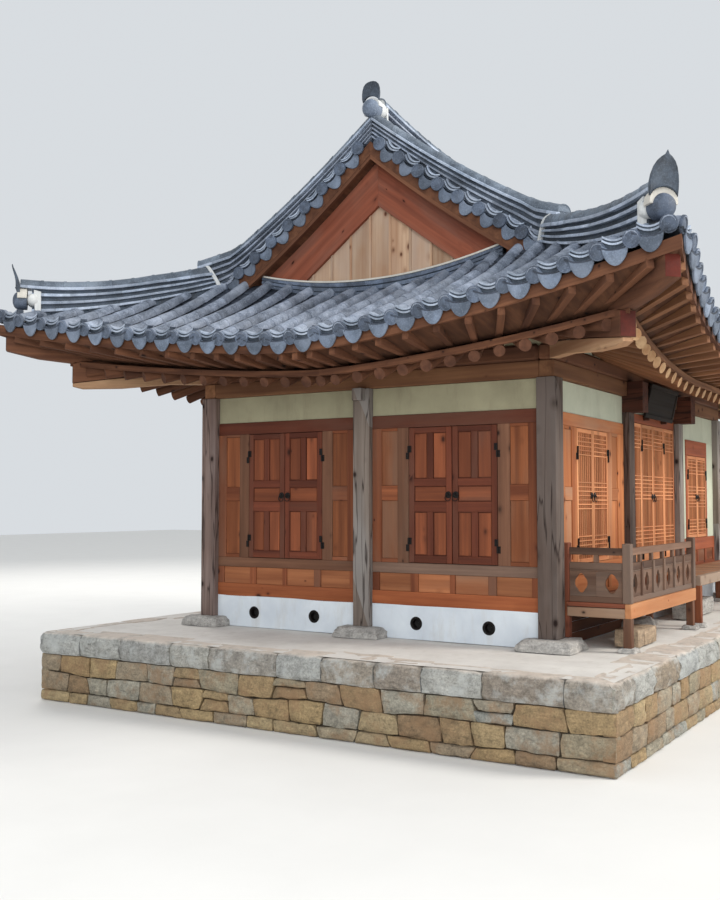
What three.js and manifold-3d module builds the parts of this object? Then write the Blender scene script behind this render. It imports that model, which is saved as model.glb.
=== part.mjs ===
// Hanok house: a timber-framed pavilion house on a stone platform,
// with a hip-and-gable tiled roof, hinged shutters and lattice doors,
// a railed veranda and a porch deck. Millimetres, +Z up.
// The origin is on the ground under the centre of the plan.
// The front faces -Y and the shuttered gable end faces -X.

import * as THREE from 'three';
import { mergeVertices } from 'three/addons/utils/BufferGeometryUtils.js';
import Module from 'manifold-3d';

const wasm = await Module();
wasm.setup();

// Driving dimensions
const BAYS = [2600, 2400, 2400]; // front bays, column centre to column centre
const SIDE_BAY = 2400; // gable bays
const PLATFORM_H = 850;
const PLATFORM_BEYOND_X = 1800; // platform edge past the column line, gable side
const PLATFORM_BEYOND_Y = 1330; // platform edge past the column line, front
const COPING_H = 270;
const COPING_LEDGE = 15;
const PLATFORM_WALL = 300;
const COPING_WALL = 520;

const COLUMN = 230;
const COLUMN_TOP = 3010; // heights from here on are above the platform
const STONE_H = 120;
const STONE_BASE = 560;
const STONE_TOP = 420;

const BASE_WALL_TOP = 400;
const BASE_WALL_LEDGE = 200; // inner face, in from the column line
const WALL_OUT = 36; // outer face, out from the column line
const WALL_IN = 136; // inner face, in from the column line
const FLOOR_TOP = 560;
const VENT_R = 65;
const VENT_H = 190;
const VENT_PLACES = [740, 1680];
const RECESS = 14; // panels lie this far behind the posts and beams

const BEAM_W = 240;
const BEAM_BOTTOM = 2800;
const BEAM_HEAD = 300; // beam end past the column line
const TIE_TOP = 3200;
const TIE_W = 180;
const PURLIN_TOP = 3390;
const PURLIN_W = 200;
const INFILL_W = 100;
const INFILL_TOP = 3950;

const GAP = 0.3; // between touching solids that share a cut surface
const LEAF_THICK = 40;
const LEAF_SIDE_GAP = 6;
const LEAF_END_GAP = 6;
const LEAF_MEETING_GAP = 10;
const HINGE_OUT = 12; // hinge axis, out from the wall's face
const KNUCKLE_R = 9;
const KNUCKLE_H = 80;
const KNUCKLE_INSET = 220;
const STRAP_THICK = 8;
const PULL_R = 30;

// Roof, in metres as the curves are written, from the straight eaves line
const EAVES_OUT = 2.05; // roof corner past the corner column, along X and Y
const BREAK_IN = 2.15; // where the hip meets the verge
const PEDIMENT_IN = 3.27; // pediment board, inner face, from the centre
const PEDIMENT_OUT = 3.35;
const EAVES_H = 3.43; // tile bed at the middle of the eaves
const EAVES_INSET = 0.48; // the eaves bow in by this at the middle
const EAVES_THICK = 0.14;
const TILE_LIFT = 0.79; // rise of the tiles at the corners
const BOARD_LIFT = 0.69; // rise of the boards under them
const PITCH = 0.445;
const PITCH_GROWTH = 0.056;
const VERGE_TILES = 0.20;
const RIDGE_W = 220;

const LENGTH = BAYS.reduce((sum, bay) => sum + bay, 0);
const DEPTH = 2 * SIDE_BAY;
const HALF_X = LENGTH / 2;
const HALF_Y = DEPTH / 2;
const COLUMN_X = [-HALF_X, -HALF_X + BAYS[0], -HALF_X + BAYS[0] + BAYS[1], HALF_X];

const house = new THREE.Group();
house.name = 'hanok_house';

// Materials
const material = (color, roughness = 0.85, metalness = 0) =>
  new THREE.MeshStandardMaterial({ color, roughness, metalness });
const STONE = material(0x8f8a78, 0.95);
const COPING = material(0x85867a, 0.95);
const GRANITE = material(0x9a9a94, 0.95);
const PLASTER = material(0xd9dad2, 0.9);
const TIMBER = material(0x8a5a34, 0.75);
const GREY_TIMBER = material(0x77706a, 0.85);
const DARK_TIMBER = material(0x4a2c1e, 0.8);
const SHUTTER = material(0xa0622d, 0.7);
const TILE = material(0x56616b, 0.8);
const TAN_BOARD = material(0xb09a78, 0.8);
const BLACK = material(0x15130f, 0.6);

// Solids
function solid(geometry) {
  const bare = geometry.clone();
  bare.deleteAttribute('normal');
  bare.deleteAttribute('uv');
  const merged = mergeVertices(bare, 1e-4);
  const index = merged.index;
  return new wasm.Manifold(new wasm.Mesh({
    numProp: 3,
    vertProperties: new Float32Array(merged.attributes.position.array),
    triVerts: new Uint32Array(index.array),
  }));
}

function box(x0, x1, y0, y1, z0, z1) {
  const geometry = new THREE.BoxGeometry(x1 - x0, y1 - y0, z1 - z0);
  geometry.translate((x0 + x1) / 2, (y0 + y1) / 2, (z0 + z1) / 2);
  return solid(geometry);
}

function cylinder(radius, length, sides, axis, centre) {
  const geometry = new THREE.CylinderGeometry(radius, radius, length, sides);
  if (axis === 'z') geometry.rotateX(Math.PI / 2);
  if (axis === 'x') geometry.rotateZ(Math.PI / 2);
  geometry.translate(...centre);
  return solid(geometry);
}

// A tapered stone block standing on z0
function taperedBlock(x, y, z0, height, base, top) {
  const geometry = new THREE.BoxGeometry(1, 1, height);
  const position = geometry.attributes.position;
  for (let i = 0; i < position.count; i += 1) {
    const width = position.getZ(i) > 0 ? top : base;
    position.setXY(i, position.getX(i) * width, position.getY(i) * width);
  }
  geometry.translate(x, y, z0 + height / 2);
  return solid(geometry);
}

function ring(outX, outY, wallX, wallY, z0, z1) {
  const outer = box(-outX, outX, -outY, outY, z0, z1);
  const inner = box(-outX + wallX, outX - wallX, -outY + wallY, outY - wallY, z0 - 10, z1 + 10);
  return outer.subtract(inner);
}

// A vertical plate cut to an outline in the XZ plane, y0 to y1 thick
function plate(outline, y0, y1) {
  const shape = new THREE.Shape(outline.map(([x, z]) => new THREE.Vector2(x, z)));
  const geometry = new THREE.ExtrudeGeometry(shape, { depth: y1 - y0, bevelEnabled: false });
  geometry.rotateX(Math.PI / 2);
  geometry.translate(0, y1, 0);
  return solid(geometry);
}

// A closed solid between two height fields over a grid of plan points, in metres
function fieldSolid(rows, columns, point) {
  const vertices = [];
  for (let i = 0; i < rows; i += 1) {
    for (let j = 0; j < columns; j += 1) {
      const { x, y, top, bottom } = point(i, j);
      vertices.push([x * 1000, y * 1000, top * 1000 + PLATFORM_H]);
      vertices.push([x * 1000, y * 1000, bottom * 1000 + PLATFORM_H]);
    }
  }
  const at = (i, j, side) => 2 * (i * columns + j) + side;
  const faces = [];
  const quad = (a, b, c, d) => faces.push([a, b, c], [a, c, d]);
  for (let i = 0; i < rows - 1; i += 1) {
    for (let j = 0; j < columns - 1; j += 1) {
      quad(at(i, j, 0), at(i, j + 1, 0), at(i + 1, j + 1, 0), at(i + 1, j, 0));
      quad(at(i, j, 1), at(i + 1, j, 1), at(i + 1, j + 1, 1), at(i, j + 1, 1));
    }
  }
  for (let i = 0; i < rows - 1; i += 1) {
    const last = columns - 1;
    quad(at(i, 0, 0), at(i + 1, 0, 0), at(i + 1, 0, 1), at(i, 0, 1));
    quad(at(i, last, 0), at(i, last, 1), at(i + 1, last, 1), at(i + 1, last, 0));
  }
  for (let j = 0; j < columns - 1; j += 1) {
    const last = rows - 1;
    quad(at(0, j, 0), at(0, j, 1), at(0, j + 1, 1), at(0, j + 1, 0));
    quad(at(last, j, 0), at(last, j + 1, 0), at(last, j + 1, 1), at(last, j, 1));
  }
  const [p, q, r] = [at(0, 0, 0), at(0, 1, 0), at(1, 0, 0)].map((k) => vertices[k]);
  const turn = (q[0] - p[0]) * (r[1] - p[1]) - (q[1] - p[1]) * (r[0] - p[0]);
  if (turn < 0) faces.forEach((face) => face.reverse());
  return new wasm.Manifold(new wasm.Mesh({
    numProp: 3,
    vertProperties: new Float32Array(vertices.flat()),
    triVerts: new Uint32Array(faces.flat()),
  }));
}

const union = (parts) => parts.reduce((sum, part) => sum.add(part));
const without = (base, cutters) => cutters.reduce((rest, cutter) => rest.subtract(cutter), base);

function addPiece(name, manifold, look) {
  const mesh = manifold.getMesh();
  const geometry = new THREE.BufferGeometry();
  geometry.setAttribute('position', new THREE.BufferAttribute(new Float32Array(mesh.vertProperties), 3));
  geometry.setIndex(new THREE.BufferAttribute(new Uint32Array(mesh.triVerts), 1));
  geometry.computeVertexNormals();
  const piece = new THREE.Mesh(geometry, look);
  piece.name = name;
  house.add(piece);
}

// Platform: rubble wall, coping course and the fill that carries the house
const platformX = HALF_X + PLATFORM_BEYOND_X;
const platformY = HALF_Y + PLATFORM_BEYOND_Y;
const copingZ = PLATFORM_H - COPING_H;

const columnPlaces = [];
COLUMN_X.forEach((x, i) => {
  columnPlaces.push({ name: `column_front_${i + 1}`, x, y: -HALF_Y, beam: i === 1 || i === 2 });
  columnPlaces.push({ name: `column_back_${i + 1}`, x, y: HALF_Y, beam: i === 1 || i === 2 });
});
columnPlaces.push({ name: 'column_left_middle', x: -HALF_X, y: 0, head: -1 });
columnPlaces.push({ name: 'column_right_middle', x: HALF_X, y: 0, head: 1 });

const foundationStones = (grow) => columnPlaces.map(({ x, y }) =>
  taperedBlock(x, y, PLATFORM_H, STONE_H + grow, STONE_BASE + 2 * grow, STONE_TOP + 2 * grow));

// Veranda and porch, placed from the near front corner column
const cornerX = -HALF_X;
const frontY = -HALF_Y;
const VERANDA = { x0: 170, x1: 2880, y0: 45, y1: 840, bottom: 360, top: 520, post: 95, inset: 60 };
const PORCH = { x0: 3050, x1: 7200, y0: 120, y1: 860, bottom: 530, top: 660, post: 90 };
const FOOTING_H = 50;
const FOOTING = 190;

function deckPosts(deck, places) {
  return places.flatMap((x) => [deck.y0 + deck.post / 2, deck.y1 - deck.post / 2].map((y) => ({ x, y })));
}
const verandaPosts = deckPosts(VERANDA, [
  VERANDA.x0 + VERANDA.post / 2, VERANDA.x1 - VERANDA.inset - VERANDA.post / 2,
]);
const PORCH_POST_X = [3095, 5400, 7000];
const porchPosts = deckPosts(PORCH, PORCH_POST_X);
const footingNearest = WALL_OUT + GAP + FOOTING / 2; // clear of the base wall
const footings = [...verandaPosts, ...porchPosts].map(({ x, y }) => taperedBlock(
  cornerX + x, frontY - Math.max(y, footingNearest), PLATFORM_H, FOOTING_H, FOOTING, FOOTING - 30));

addPiece('platform_wall',
  ring(platformX - COPING_LEDGE, platformY - COPING_LEDGE, PLATFORM_WALL, PLATFORM_WALL, 0, copingZ), STONE);
addPiece('platform_coping',
  ring(platformX, platformY, COPING_WALL, COPING_WALL, copingZ, PLATFORM_H), COPING);
const fillX = platformX - COPING_LEDGE - PLATFORM_WALL;
const fillY = platformY - COPING_LEDGE - PLATFORM_WALL;
addPiece('platform_fill', union([
  box(-fillX, fillX, -fillY, fillY, 0, copingZ),
  box(-platformX + COPING_WALL, platformX - COPING_WALL,
    -platformY + COPING_WALL, platformY - COPING_WALL, 0, PLATFORM_H),
  ...foundationStones(0),
  ...footings,
]), GRANITE);

// Columns and the shapes that clear them
const P = PLATFORM_H;
const half = COLUMN / 2;
const columnCutters = columnPlaces.map(({ x, y }) =>
  box(x - half - GAP, x + half + GAP, y - half - GAP, y + half + GAP, P, P + COLUMN_TOP + 50));
const HEAD = { width: 130, bottom: 2860, out: 110 };

columnPlaces.forEach(({ name, x, y, beam, head }) => {
  const top = P + (beam ? BEAM_BOTTOM : COLUMN_TOP);
  let post = box(x - half, x + half, y - half, y + half, P + STONE_H, top);
  if (head) {
    const face = x + head * half;
    const tip = face + head * HEAD.out;
    post = post.add(box(Math.min(x, tip), Math.max(x, tip),
      y - HEAD.width / 2, y + HEAD.width / 2, P + HEAD.bottom, top));
  }
  addPiece(name, post, GREY_TIMBER);
});

// Tie beams round the column tops, and the cross beams notched over them
const tieRing = (grow) => ring(HALF_X + TIE_W / 2 + grow, HALF_Y + TIE_W / 2 + grow,
  TIE_W + 2 * grow, TIE_W + 2 * grow, P + COLUMN_TOP, P + TIE_TOP);
addPiece('tie_beams', tieRing(0), TIMBER);

const crossBeam = (x, grow) => box(x - BEAM_W / 2 - grow, x + BEAM_W / 2 + grow,
  -HALF_Y - BEAM_HEAD, HALF_Y + BEAM_HEAD, P + BEAM_BOTTOM, P + TIE_TOP);
COLUMN_X.slice(1, 3).forEach((x, i) => {
  addPiece(`cross_beam_${i + 1}`, crossBeam(x, 0).subtract(tieRing(GAP)), DARK_TIMBER);
});
const beamCutters = COLUMN_X.slice(1, 3).map((x) => crossBeam(x, GAP));

// Base wall with round vents, and the raised floor inside it
const baseOut = HALF_X + WALL_OUT;
const baseOutY = HALF_Y + WALL_OUT;
const baseThick = WALL_OUT + BASE_WALL_LEDGE;
const vents = [];
[-SIDE_BAY, 0].forEach((bayStart) => VENT_PLACES.forEach((s) => {
  [-1, 1].forEach((side) => vents.push(
    cylinder(VENT_R, 600, 10, 'x', [side * HALF_X, bayStart + s, P + VENT_H])));
}));
COLUMN_X.slice(0, 3).forEach((x, i) => VENT_PLACES.forEach((s) => {
  const place = x + s + (BAYS[i] - SIDE_BAY) / 2;
  vents.push(cylinder(VENT_R, 600, 10, 'y', [place, HALF_Y, P + VENT_H]));
}));
addPiece('base_wall', without(
  ring(baseOut, baseOutY, baseThick, baseThick, P, P + BASE_WALL_TOP),
  [...columnCutters, ...foundationStones(GAP), ...vents]), PLASTER);
addPiece('floor', box(-HALF_X + WALL_IN + GAP, HALF_X - WALL_IN - GAP,
  -HALF_Y + WALL_IN + GAP, HALF_Y - WALL_IN - GAP, P + BASE_WALL_TOP, P + FLOOR_TOP), TIMBER);

// Walls. Each bay is drawn from its left column centre, seen from outside:
// s along the wall, h up from the platform.
const mirrorPanels = (width, panels) => [
  ...panels, ...panels.map(([s0, s1, h0, h1]) => [width - s1, width - s0, h0, h1]),
];

const SHUTTER_BAY = {
  width: SIDE_BAY,
  opening: [620, 1780, 900, 2515],
  panels: [
    ...mirrorPanels(SIDE_BAY, [
      [213, 644, 560, 776], [744, 1166, 560, 776],
      [246, 468, 948, 1641], [246, 468, 1822, 2481],
    ]),
    [115, SIDE_BAY - 115, 2670, COLUMN_TOP],
  ],
  leaf: 'shutter',
};
const LATTICE_BAY = {
  width: BAYS[0],
  opening: [750, 1850, 900, 2500],
  panels: [
    ...mirrorPanels(BAYS[0], [
      [230, 650, 560, 776], [760, 1240, 560, 776],
      [360, 593, 960, 1643], [360, 593, 1796, 2460],
    ]),
    [115, BAYS[0] - 115, 2650, COLUMN_TOP],
  ],
  leaf: 'lattice',
};
const DOOR_BAY = {
  width: BAYS[1],
  opening: [667, 1733, 700, 2700],
  panels: [
    ...mirrorPanels(BAYS[1], [
      [200, 600, 760, 1000], [200, 600, 1060, 2620],
    ]),
    [115, BAYS[1] - 115, 2820, COLUMN_TOP],
  ],
  leaf: 'lattice',
};
const HIGH_BAY = {
  width: BAYS[2],
  opening: [640, 1760, 1060, 2360],
  panels: [
    ...mirrorPanels(BAYS[2], [
      [213, 644, 680, 870], [744, 1166, 680, 870], [115, 560, 1060, 2600],
    ]),
    [115, BAYS[2] - 115, 2600, COLUMN_TOP],
  ],
  leaf: 'lattice',
};

const LEAF_PANELS = {
  shutter: [[0.10, 0.46, 0.62, 0.96], [0.54, 0.90, 0.62, 0.96], [0.10, 0.90, 0.45, 0.565],
    [0.10, 0.46, 0.055, 0.375], [0.54, 0.90, 0.055, 0.375]],
  lattice: [[0.12, 0.88, 0.05, 0.95]],
};

// Local wall frame: X along the wall, Y inward from the column line, Z up
const knuckleLevels = ([, , h0, h1]) => [h0 + KNUCKLE_INSET, h1 - KNUCKLE_INSET - KNUCKLE_H];

function hinge(axisX, side, level) {
  const y = -WALL_OUT - HINGE_OUT;
  const z = P + level;
  const strap = side > 0 ? [axisX, axisX + 80] : [axisX - 70, axisX];
  return cylinder(KNUCKLE_R, KNUCKLE_H, 8, 'z', [axisX, y, z + KNUCKLE_H / 2])
    .add(box(...strap, -WALL_OUT - STRAP_THICK, -WALL_OUT + 1, z, z + KNUCKLE_H));
}

function leafSolid(style, width, h0, h1) {
  const x0 = LEAF_SIDE_GAP / 2;
  const z0 = P + h0 + LEAF_END_GAP;
  const z1 = P + h1 - LEAF_END_GAP;
  const slab = box(x0, x0 + width, -WALL_OUT, -WALL_OUT + LEAF_THICK, z0, z1);
  const recesses = LEAF_PANELS[style].map(([a, b, c, d]) => box(
    x0 + a * width, x0 + b * width, -WALL_OUT - 10, -WALL_OUT + RECESS,
    z0 + c * (z1 - z0), z0 + d * (z1 - z0)));
  const pull = cylinder(PULL_R, 16, 8, 'y', [x0 + width - 40, -WALL_OUT, (z0 + z1) / 2]);
  const knuckles = knuckleLevels([0, 0, h0, h1]).map((level) => hinge(0, 1, level));
  return union([without(slab, recesses), pull, ...knuckles]);
}

// One side's wall. Fixed bays keep their leaf pair closed, as a relief on the
// wall, and the others get an opening with the fixed halves of its hinges.
function wall(bays, bayStarts, fixedBays, yieldsAtEnds) {
  const first = bayStarts[0];
  const last = -bayStarts[0];
  let body = box(first + half + GAP, last - half - GAP, -WALL_OUT, WALL_IN,
    P + BASE_WALL_TOP, P + COLUMN_TOP);
  if (yieldsAtEnds) {
    [-1, 1].forEach((end) => {
      const edges = [end * last, end * (last - WALL_IN - GAP)].sort((a, b) => a - b);
      body = body.subtract(box(...edges, half, WALL_IN + 10, P, P + COLUMN_TOP + 10));
    });
  }
  bays.forEach((bay, i) => {
    const start = bayStarts[i];
    const [s0, s1, h0, h1] = bay.opening;
    const panels = bay.panels.map(([a, b, c, d]) => box(
      start + a, start + b, -WALL_OUT - 10, -WALL_OUT + RECESS, P + c, P + d + (d === COLUMN_TOP ? 10 : 0)));
    body = without(body, panels);
    if (fixedBays.includes(i)) {
      const middle = (s0 + s1) / 2;
      [[s0, middle - LEAF_MEETING_GAP / 2], [middle + LEAF_MEETING_GAP / 2, s1]].forEach(([a, b]) => {
        const inset = 0.12 * (b - a);
        body = body.subtract(box(start + a + inset, start + b - inset, -WALL_OUT - 10,
          -WALL_OUT + RECESS, P + h0 + inset, P + h1 - inset));
      });
    } else {
      body = body.subtract(box(start + s0, start + s1, -WALL_OUT - 10, WALL_IN + 10, P + h0, P + h1));
      knuckleLevels(bay.opening).forEach((level) => {
        const below = level - KNUCKLE_H - GAP;
        body = body.add(hinge(start + s0 + LEAF_SIDE_GAP / 2, -1, below));
        const right = hinge(-(start + s1 - LEAF_SIDE_GAP / 2), -1, below).mirror([1, 0, 0]);
        body = body.add(right);
      });
    }
  });
  return body;
}

const sides = [
  { name: 'front', turn: 0, away: HALF_Y, bays: [LATTICE_BAY, DOOR_BAY, HIGH_BAY], starts: COLUMN_X.slice(0, 3),
    fixed: [] },
  { name: 'left', turn: -90, away: HALF_X, bays: [SHUTTER_BAY, SHUTTER_BAY], starts: [-SIDE_BAY, 0], fixed: [] },
  { name: 'back', turn: 180, away: HALF_Y, bays: [HIGH_BAY, DOOR_BAY, LATTICE_BAY],
    starts: COLUMN_X.slice(1).map((x) => -x).reverse(), fixed: [0, 1, 2] },
  { name: 'right', turn: 90, away: HALF_X, bays: [SHUTTER_BAY, SHUTTER_BAY], starts: [-SIDE_BAY, 0],
    fixed: [0, 1] },
];
const intoPlace = (piece, side) => piece.translate([0, -side.away, 0]).rotate([0, 0, side.turn]);

sides.forEach((side) => {
  const body = intoPlace(wall(side.bays, side.starts, side.fixed, side.away === HALF_X), side);
  addPiece(`wall_${side.name}`, without(body, [...columnCutters, ...beamCutters]), TIMBER);
  side.bays.forEach((bay, i) => {
    if (side.fixed.includes(i)) return;
    const [s0, s1, h0, h1] = bay.opening;
    const width = (s1 - s0 - LEAF_MEETING_GAP) / 2 - LEAF_SIDE_GAP;
    const leaf = leafSolid(bay.leaf, width, h0, h1);
    const start = side.starts[i];
    const kind = bay.leaf === 'shutter' ? 'shutter' : 'lattice_door';
    const leftLeaf = leaf.translate([start + s0 + LEAF_SIDE_GAP / 2, 0, 0]);
    const rightLeaf = leaf.mirror([1, 0, 0]).translate([start + s1 - LEAF_SIDE_GAP / 2, 0, 0]);
    addPiece(`${kind}_${side.name}_${2 * i + 1}`, intoPlace(leftLeaf, side), SHUTTER);
    addPiece(`${kind}_${side.name}_${2 * i + 2}`, intoPlace(rightLeaf, side), SHUTTER);
  });
});

// Roof surfaces, in metres. d is the plan distance in from the straight
// eaves line, and q the distance from the roof corner along it.
const ROOF_X = HALF_X / 1000 + EAVES_OUT;
const ROOF_Y = HALF_Y / 1000 + EAVES_OUT;
const VERGE_X = ROOF_X - BREAK_IN;
const clamp01 = (value) => Math.min(Math.max(value, 0), 1);
const sweep = (d, q) => (1 - clamp01(q / ROOF_Y)) ** 1.55 * (1 - 0.62 * d / ROOF_Y);
const slopeTop = (d, q) => EAVES_H + PITCH * (d - EAVES_INSET)
  + PITCH_GROWTH * (d - EAVES_INSET) ** 2 + TILE_LIFT * sweep(d, q);
const skirtTop = (d, q) => EAVES_H + PITCH * (d - EAVES_INSET)
  + PITCH_GROWTH * (d - EAVES_INSET) ** 2 * Math.exp(-((q - d) ** 2)) + TILE_LIFT * sweep(d, q);
const underside = (d, q) => EAVES_H - EAVES_THICK + 0.17 * (d - EAVES_INSET)
  - 0.18 * Math.max(EAVES_INSET - d, 0) + 0.61 * Math.max(d - EAVES_OUT, 0) + BOARD_LIFT * sweep(d, q);
const inset = (e, q, run) => EAVES_INSET * (1 - (1 - clamp01((q - e) / ROOF_Y)) ** 2) * (1 - e / run);

const SLOPE_ROWS = [0, 0.4, 0.8, 1.25, 1.7, BREAK_IN, 2.7, 3.3, 3.9, ROOF_Y];
const SKIRT_RUN = ROOF_X - PEDIMENT_IN;
const SKIRT_ROWS = [0, 0.4, 0.8, 1.25, 1.7, BREAK_IN, SKIRT_RUN];
const SLOPE_COLUMNS = 17;
const SKIRT_COLUMNS = 13;
const SEAM = 0.00025; // half the gap where two roof faces meet
const GROW = GAP / 1000;
const denserAtEnds = (t) => Math.sign(t) * (1 - (1 - Math.abs(t)) ** 1.4);

function mainSlope(side, grow) {
  return fieldSolid(SLOPE_ROWS.length, SLOPE_COLUMNS, (i, j) => {
    const e = SLOPE_ROWS[i];
    const reach = Math.max(ROOF_X - e, VERGE_X) - SEAM + 2 * grow;
    const x = reach * denserAtEnds(2 * j / (SLOPE_COLUMNS - 1) - 1);
    const q = ROOF_X - Math.abs(x);
    const atRidge = i === SLOPE_ROWS.length - 1 ? 2 * grow - SEAM : 0;
    const d = e + inset(e, q, ROOF_Y) + atRidge;
    return { x, y: side * (ROOF_Y - d), top: slopeTop(d, q) + grow, bottom: underside(d, q) - grow };
  });
}

function skirt(side, grow) {
  return fieldSolid(SKIRT_ROWS.length, SKIRT_COLUMNS, (i, j) => {
    const e = SKIRT_ROWS[i];
    const reach = ROOF_Y - e - SEAM + 2 * grow;
    const y = reach * denserAtEnds(2 * j / (SKIRT_COLUMNS - 1) - 1);
    const q = ROOF_Y - Math.abs(y);
    const d = e + inset(e, q, SKIRT_RUN);
    return { x: side * (ROOF_X - d), y, top: skirtTop(d, q) + grow, bottom: underside(d, q) - grow };
  });
}

// The hollow under the verge, from the pediment out, below the verge tiles
const VERGE_ROWS = [SKIRT_RUN, 2.7, 3.3, 3.9, ROOF_Y + 0.01];
function vergeSpace(sideX, sideY) {
  const across = [PEDIMENT_IN - GROW, VERGE_X, VERGE_X + 0.15];
  return fieldSolid(VERGE_ROWS.length, across.length, (i, j) => {
    const d = VERGE_ROWS[i];
    const q = ROOF_X - across[j];
    return { x: sideX * across[j], y: sideY * (ROOF_Y - d), top: slopeTop(d, q) - VERGE_TILES, bottom: 3.0 };
  });
}

const slopesGrown = [-1, 1].map((side) => mainSlope(side, GROW));
const skirtsGrown = [-1, 1].map((side) => skirt(side, GROW));
const vergeSpaces = (sideX) => vergeSpace(sideX, -1).add(vergeSpace(sideX, 1));

[['roof_front', -1], ['roof_back', 1]].forEach(([name, side]) => {
  const cutters = [...skirtsGrown, vergeSpaces(-1), vergeSpaces(1)];
  addPiece(name, without(mainSlope(side, 0), cutters), TILE);
});
[['roof_left', -1], ['roof_right', 1]].forEach(([name, side]) => {
  addPiece(name, skirt(side, 0), TILE);
});

// Hip rafters under the corners, with the flying rafter on top
const HIP_RAFTER_W = 180;
const HIP_PROFILE = [[-0.5, PURLIN_TOP / 1000], [0.2, PURLIN_TOP / 1000], [1.31, 3.18], [1.31, 3.44],
  [1.90, 3.58], [1.90, 3.98], [-0.5, 3.98]];
const roofCutters = [...slopesGrown, ...skirtsGrown];
const corners = [
  { name: 'front_left', x: -1, y: -1 }, { name: 'front_right', x: 1, y: -1 },
  { name: 'back_left', x: -1, y: 1 }, { name: 'back_right', x: 1, y: 1 },
];
const hipAngle = (corner) => Math.atan2(corner.y, corner.x) * 180 / Math.PI;
const ontoHip = (piece, corner) => piece.rotate([0, 0, hipAngle(corner)])
  .translate([corner.x * HALF_X, corner.y * HALF_Y, 0]);
const alongHip = (out) => out * Math.SQRT2 * 1000;

corners.forEach((corner) => {
  const outline = HIP_PROFILE.map(([out, h]) => [alongHip(out), P + h * 1000]);
  const rafter = ontoHip(plate(outline, -HIP_RAFTER_W / 2, HIP_RAFTER_W / 2), corner);
  const clear = without(rafter, roofCutters);
  const lowest = clear.decompose().sort((a, b) => a.boundingBox().min[2] - b.boundingBox().min[2])[0];
  addPiece(`hip_rafter_${corner.name}`, lowest, DARK_TIMBER);
});

// Purlins on the tie beams, with the plastered infill between the rafters
const hipSlots = corners.map((corner) => ontoHip(box(alongHip(-0.6), alongHip(0.8),
  -HIP_RAFTER_W / 2 - GAP, HIP_RAFTER_W / 2 + GAP, P + PURLIN_TOP, P + INFILL_TOP + 100), corner));
const purlins = ring(HALF_X + PURLIN_W / 2, HALF_Y + PURLIN_W / 2, PURLIN_W, PURLIN_W, P + TIE_TOP, P + PURLIN_TOP)
  .add(ring(HALF_X + INFILL_W / 2, HALF_Y + INFILL_W / 2, INFILL_W, INFILL_W, P + PURLIN_TOP - 20, P + INFILL_TOP));
addPiece('purlins', without(purlins, [...roofCutters, ...hipSlots]), TIMBER);

// Ridges of stacked tiles along the foot of each pediment, in metres
const FOOT_RIDGE = {
  x0: PEDIMENT_OUT + GROW, x1: 3.52, reach: 1.76, bottom: 4.1, middle: 4.45, end: 4.68, steps: 9,
};
function footRidge(side, grow) {
  const across = [FOOT_RIDGE.x0 - grow, FOOT_RIDGE.x1 + grow];
  return fieldSolid(FOOT_RIDGE.steps, 2, (i, j) => {
    const t = 2 * i / (FOOT_RIDGE.steps - 1) - 1;
    const top = FOOT_RIDGE.middle + (FOOT_RIDGE.end - FOOT_RIDGE.middle) * t * t + grow;
    return { x: side * across[j], y: t * FOOT_RIDGE.reach, top, bottom: FOOT_RIDGE.bottom };
  });
}

// Pediments: a boarded wall and the pair of bargeboards on its face, in metres
const PEDIMENT_FOOT = 4.1;
const PEDIMENT_HEAD = 6.4;
const BARGEBOARD = { face: 3.40, apex: 5.38, pitch: 0.75, root: 0.01 };
const pedimentSpan = ROOF_Y - SKIRT_RUN;
[['left', -1], ['right', 1]].forEach(([name, side], k) => {
  const boardedWall = fieldSolid(2, 2, (i, j) => ({
    x: side * [PEDIMENT_IN, PEDIMENT_OUT][j], y: [-pedimentSpan, pedimentSpan][i],
    top: PEDIMENT_HEAD, bottom: PEDIMENT_FOOT,
  }));
  const bargeboards = [-1, 1].map((sideY) => fieldSolid(2, 2, (i, j) => {
    const y = [0, (BARGEBOARD.apex - PEDIMENT_FOOT) / BARGEBOARD.pitch][i];
    const x = [PEDIMENT_OUT - BARGEBOARD.root, BARGEBOARD.face][j];
    return { x: side * x, y: sideY * y, top: PEDIMENT_HEAD, bottom: BARGEBOARD.apex - BARGEBOARD.pitch * y };
  }));
  const underTiles = vergeSpaces(side).translate([0, 0, -GAP]);
  const boards = union([boardedWall, ...bargeboards]).intersect(underTiles);
  addPiece(`pediment_${name}`, without(boards, [...skirtsGrown, footRidge(side, GROW)]), TAN_BOARD);
  addPiece(`foot_ridge_${name}`, footRidge(side, 0).intersect(underTiles).subtract(skirtsGrown[k]), TILE);
});

// Main ridge, rising to its ends
const MAIN_RIDGE_END = 3.58;
const MAIN_RIDGE = { height: 0.45, rise: 0.19, steps: 15 };
const RIDGE_END_TILE = [[-60, 6500], [40, 6500], [50, 6720], [40, 6930], [0, 6930], [-60, 6760]];
const ridgeTop = (x) => slopeTop(ROOF_Y, ROOF_X - Math.abs(x)) + MAIN_RIDGE.height
  + MAIN_RIDGE.rise * Math.abs(x / MAIN_RIDGE_END) ** 2.5;
const mainRidge = fieldSolid(MAIN_RIDGE.steps, 2, (i, j) => {
  const x = MAIN_RIDGE_END * (2 * i / (MAIN_RIDGE.steps - 1) - 1);
  const base = slopeTop(ROOF_Y, ROOF_X - Math.min(Math.abs(x), VERGE_X));
  return { x, y: (j - 0.5) * RIDGE_W / 1000, top: ridgeTop(x), bottom: base - 0.1 };
});
const ridgeEndTiles = [-1, 1].map((side) => {
  const x0 = side * MAIN_RIDGE_END * 1000;
  const outline = RIDGE_END_TILE.map(([out, h]) => [x0 + side * out, P + h]);
  return plate(outline, -RIDGE_W / 2, RIDGE_W / 2);
});
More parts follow.
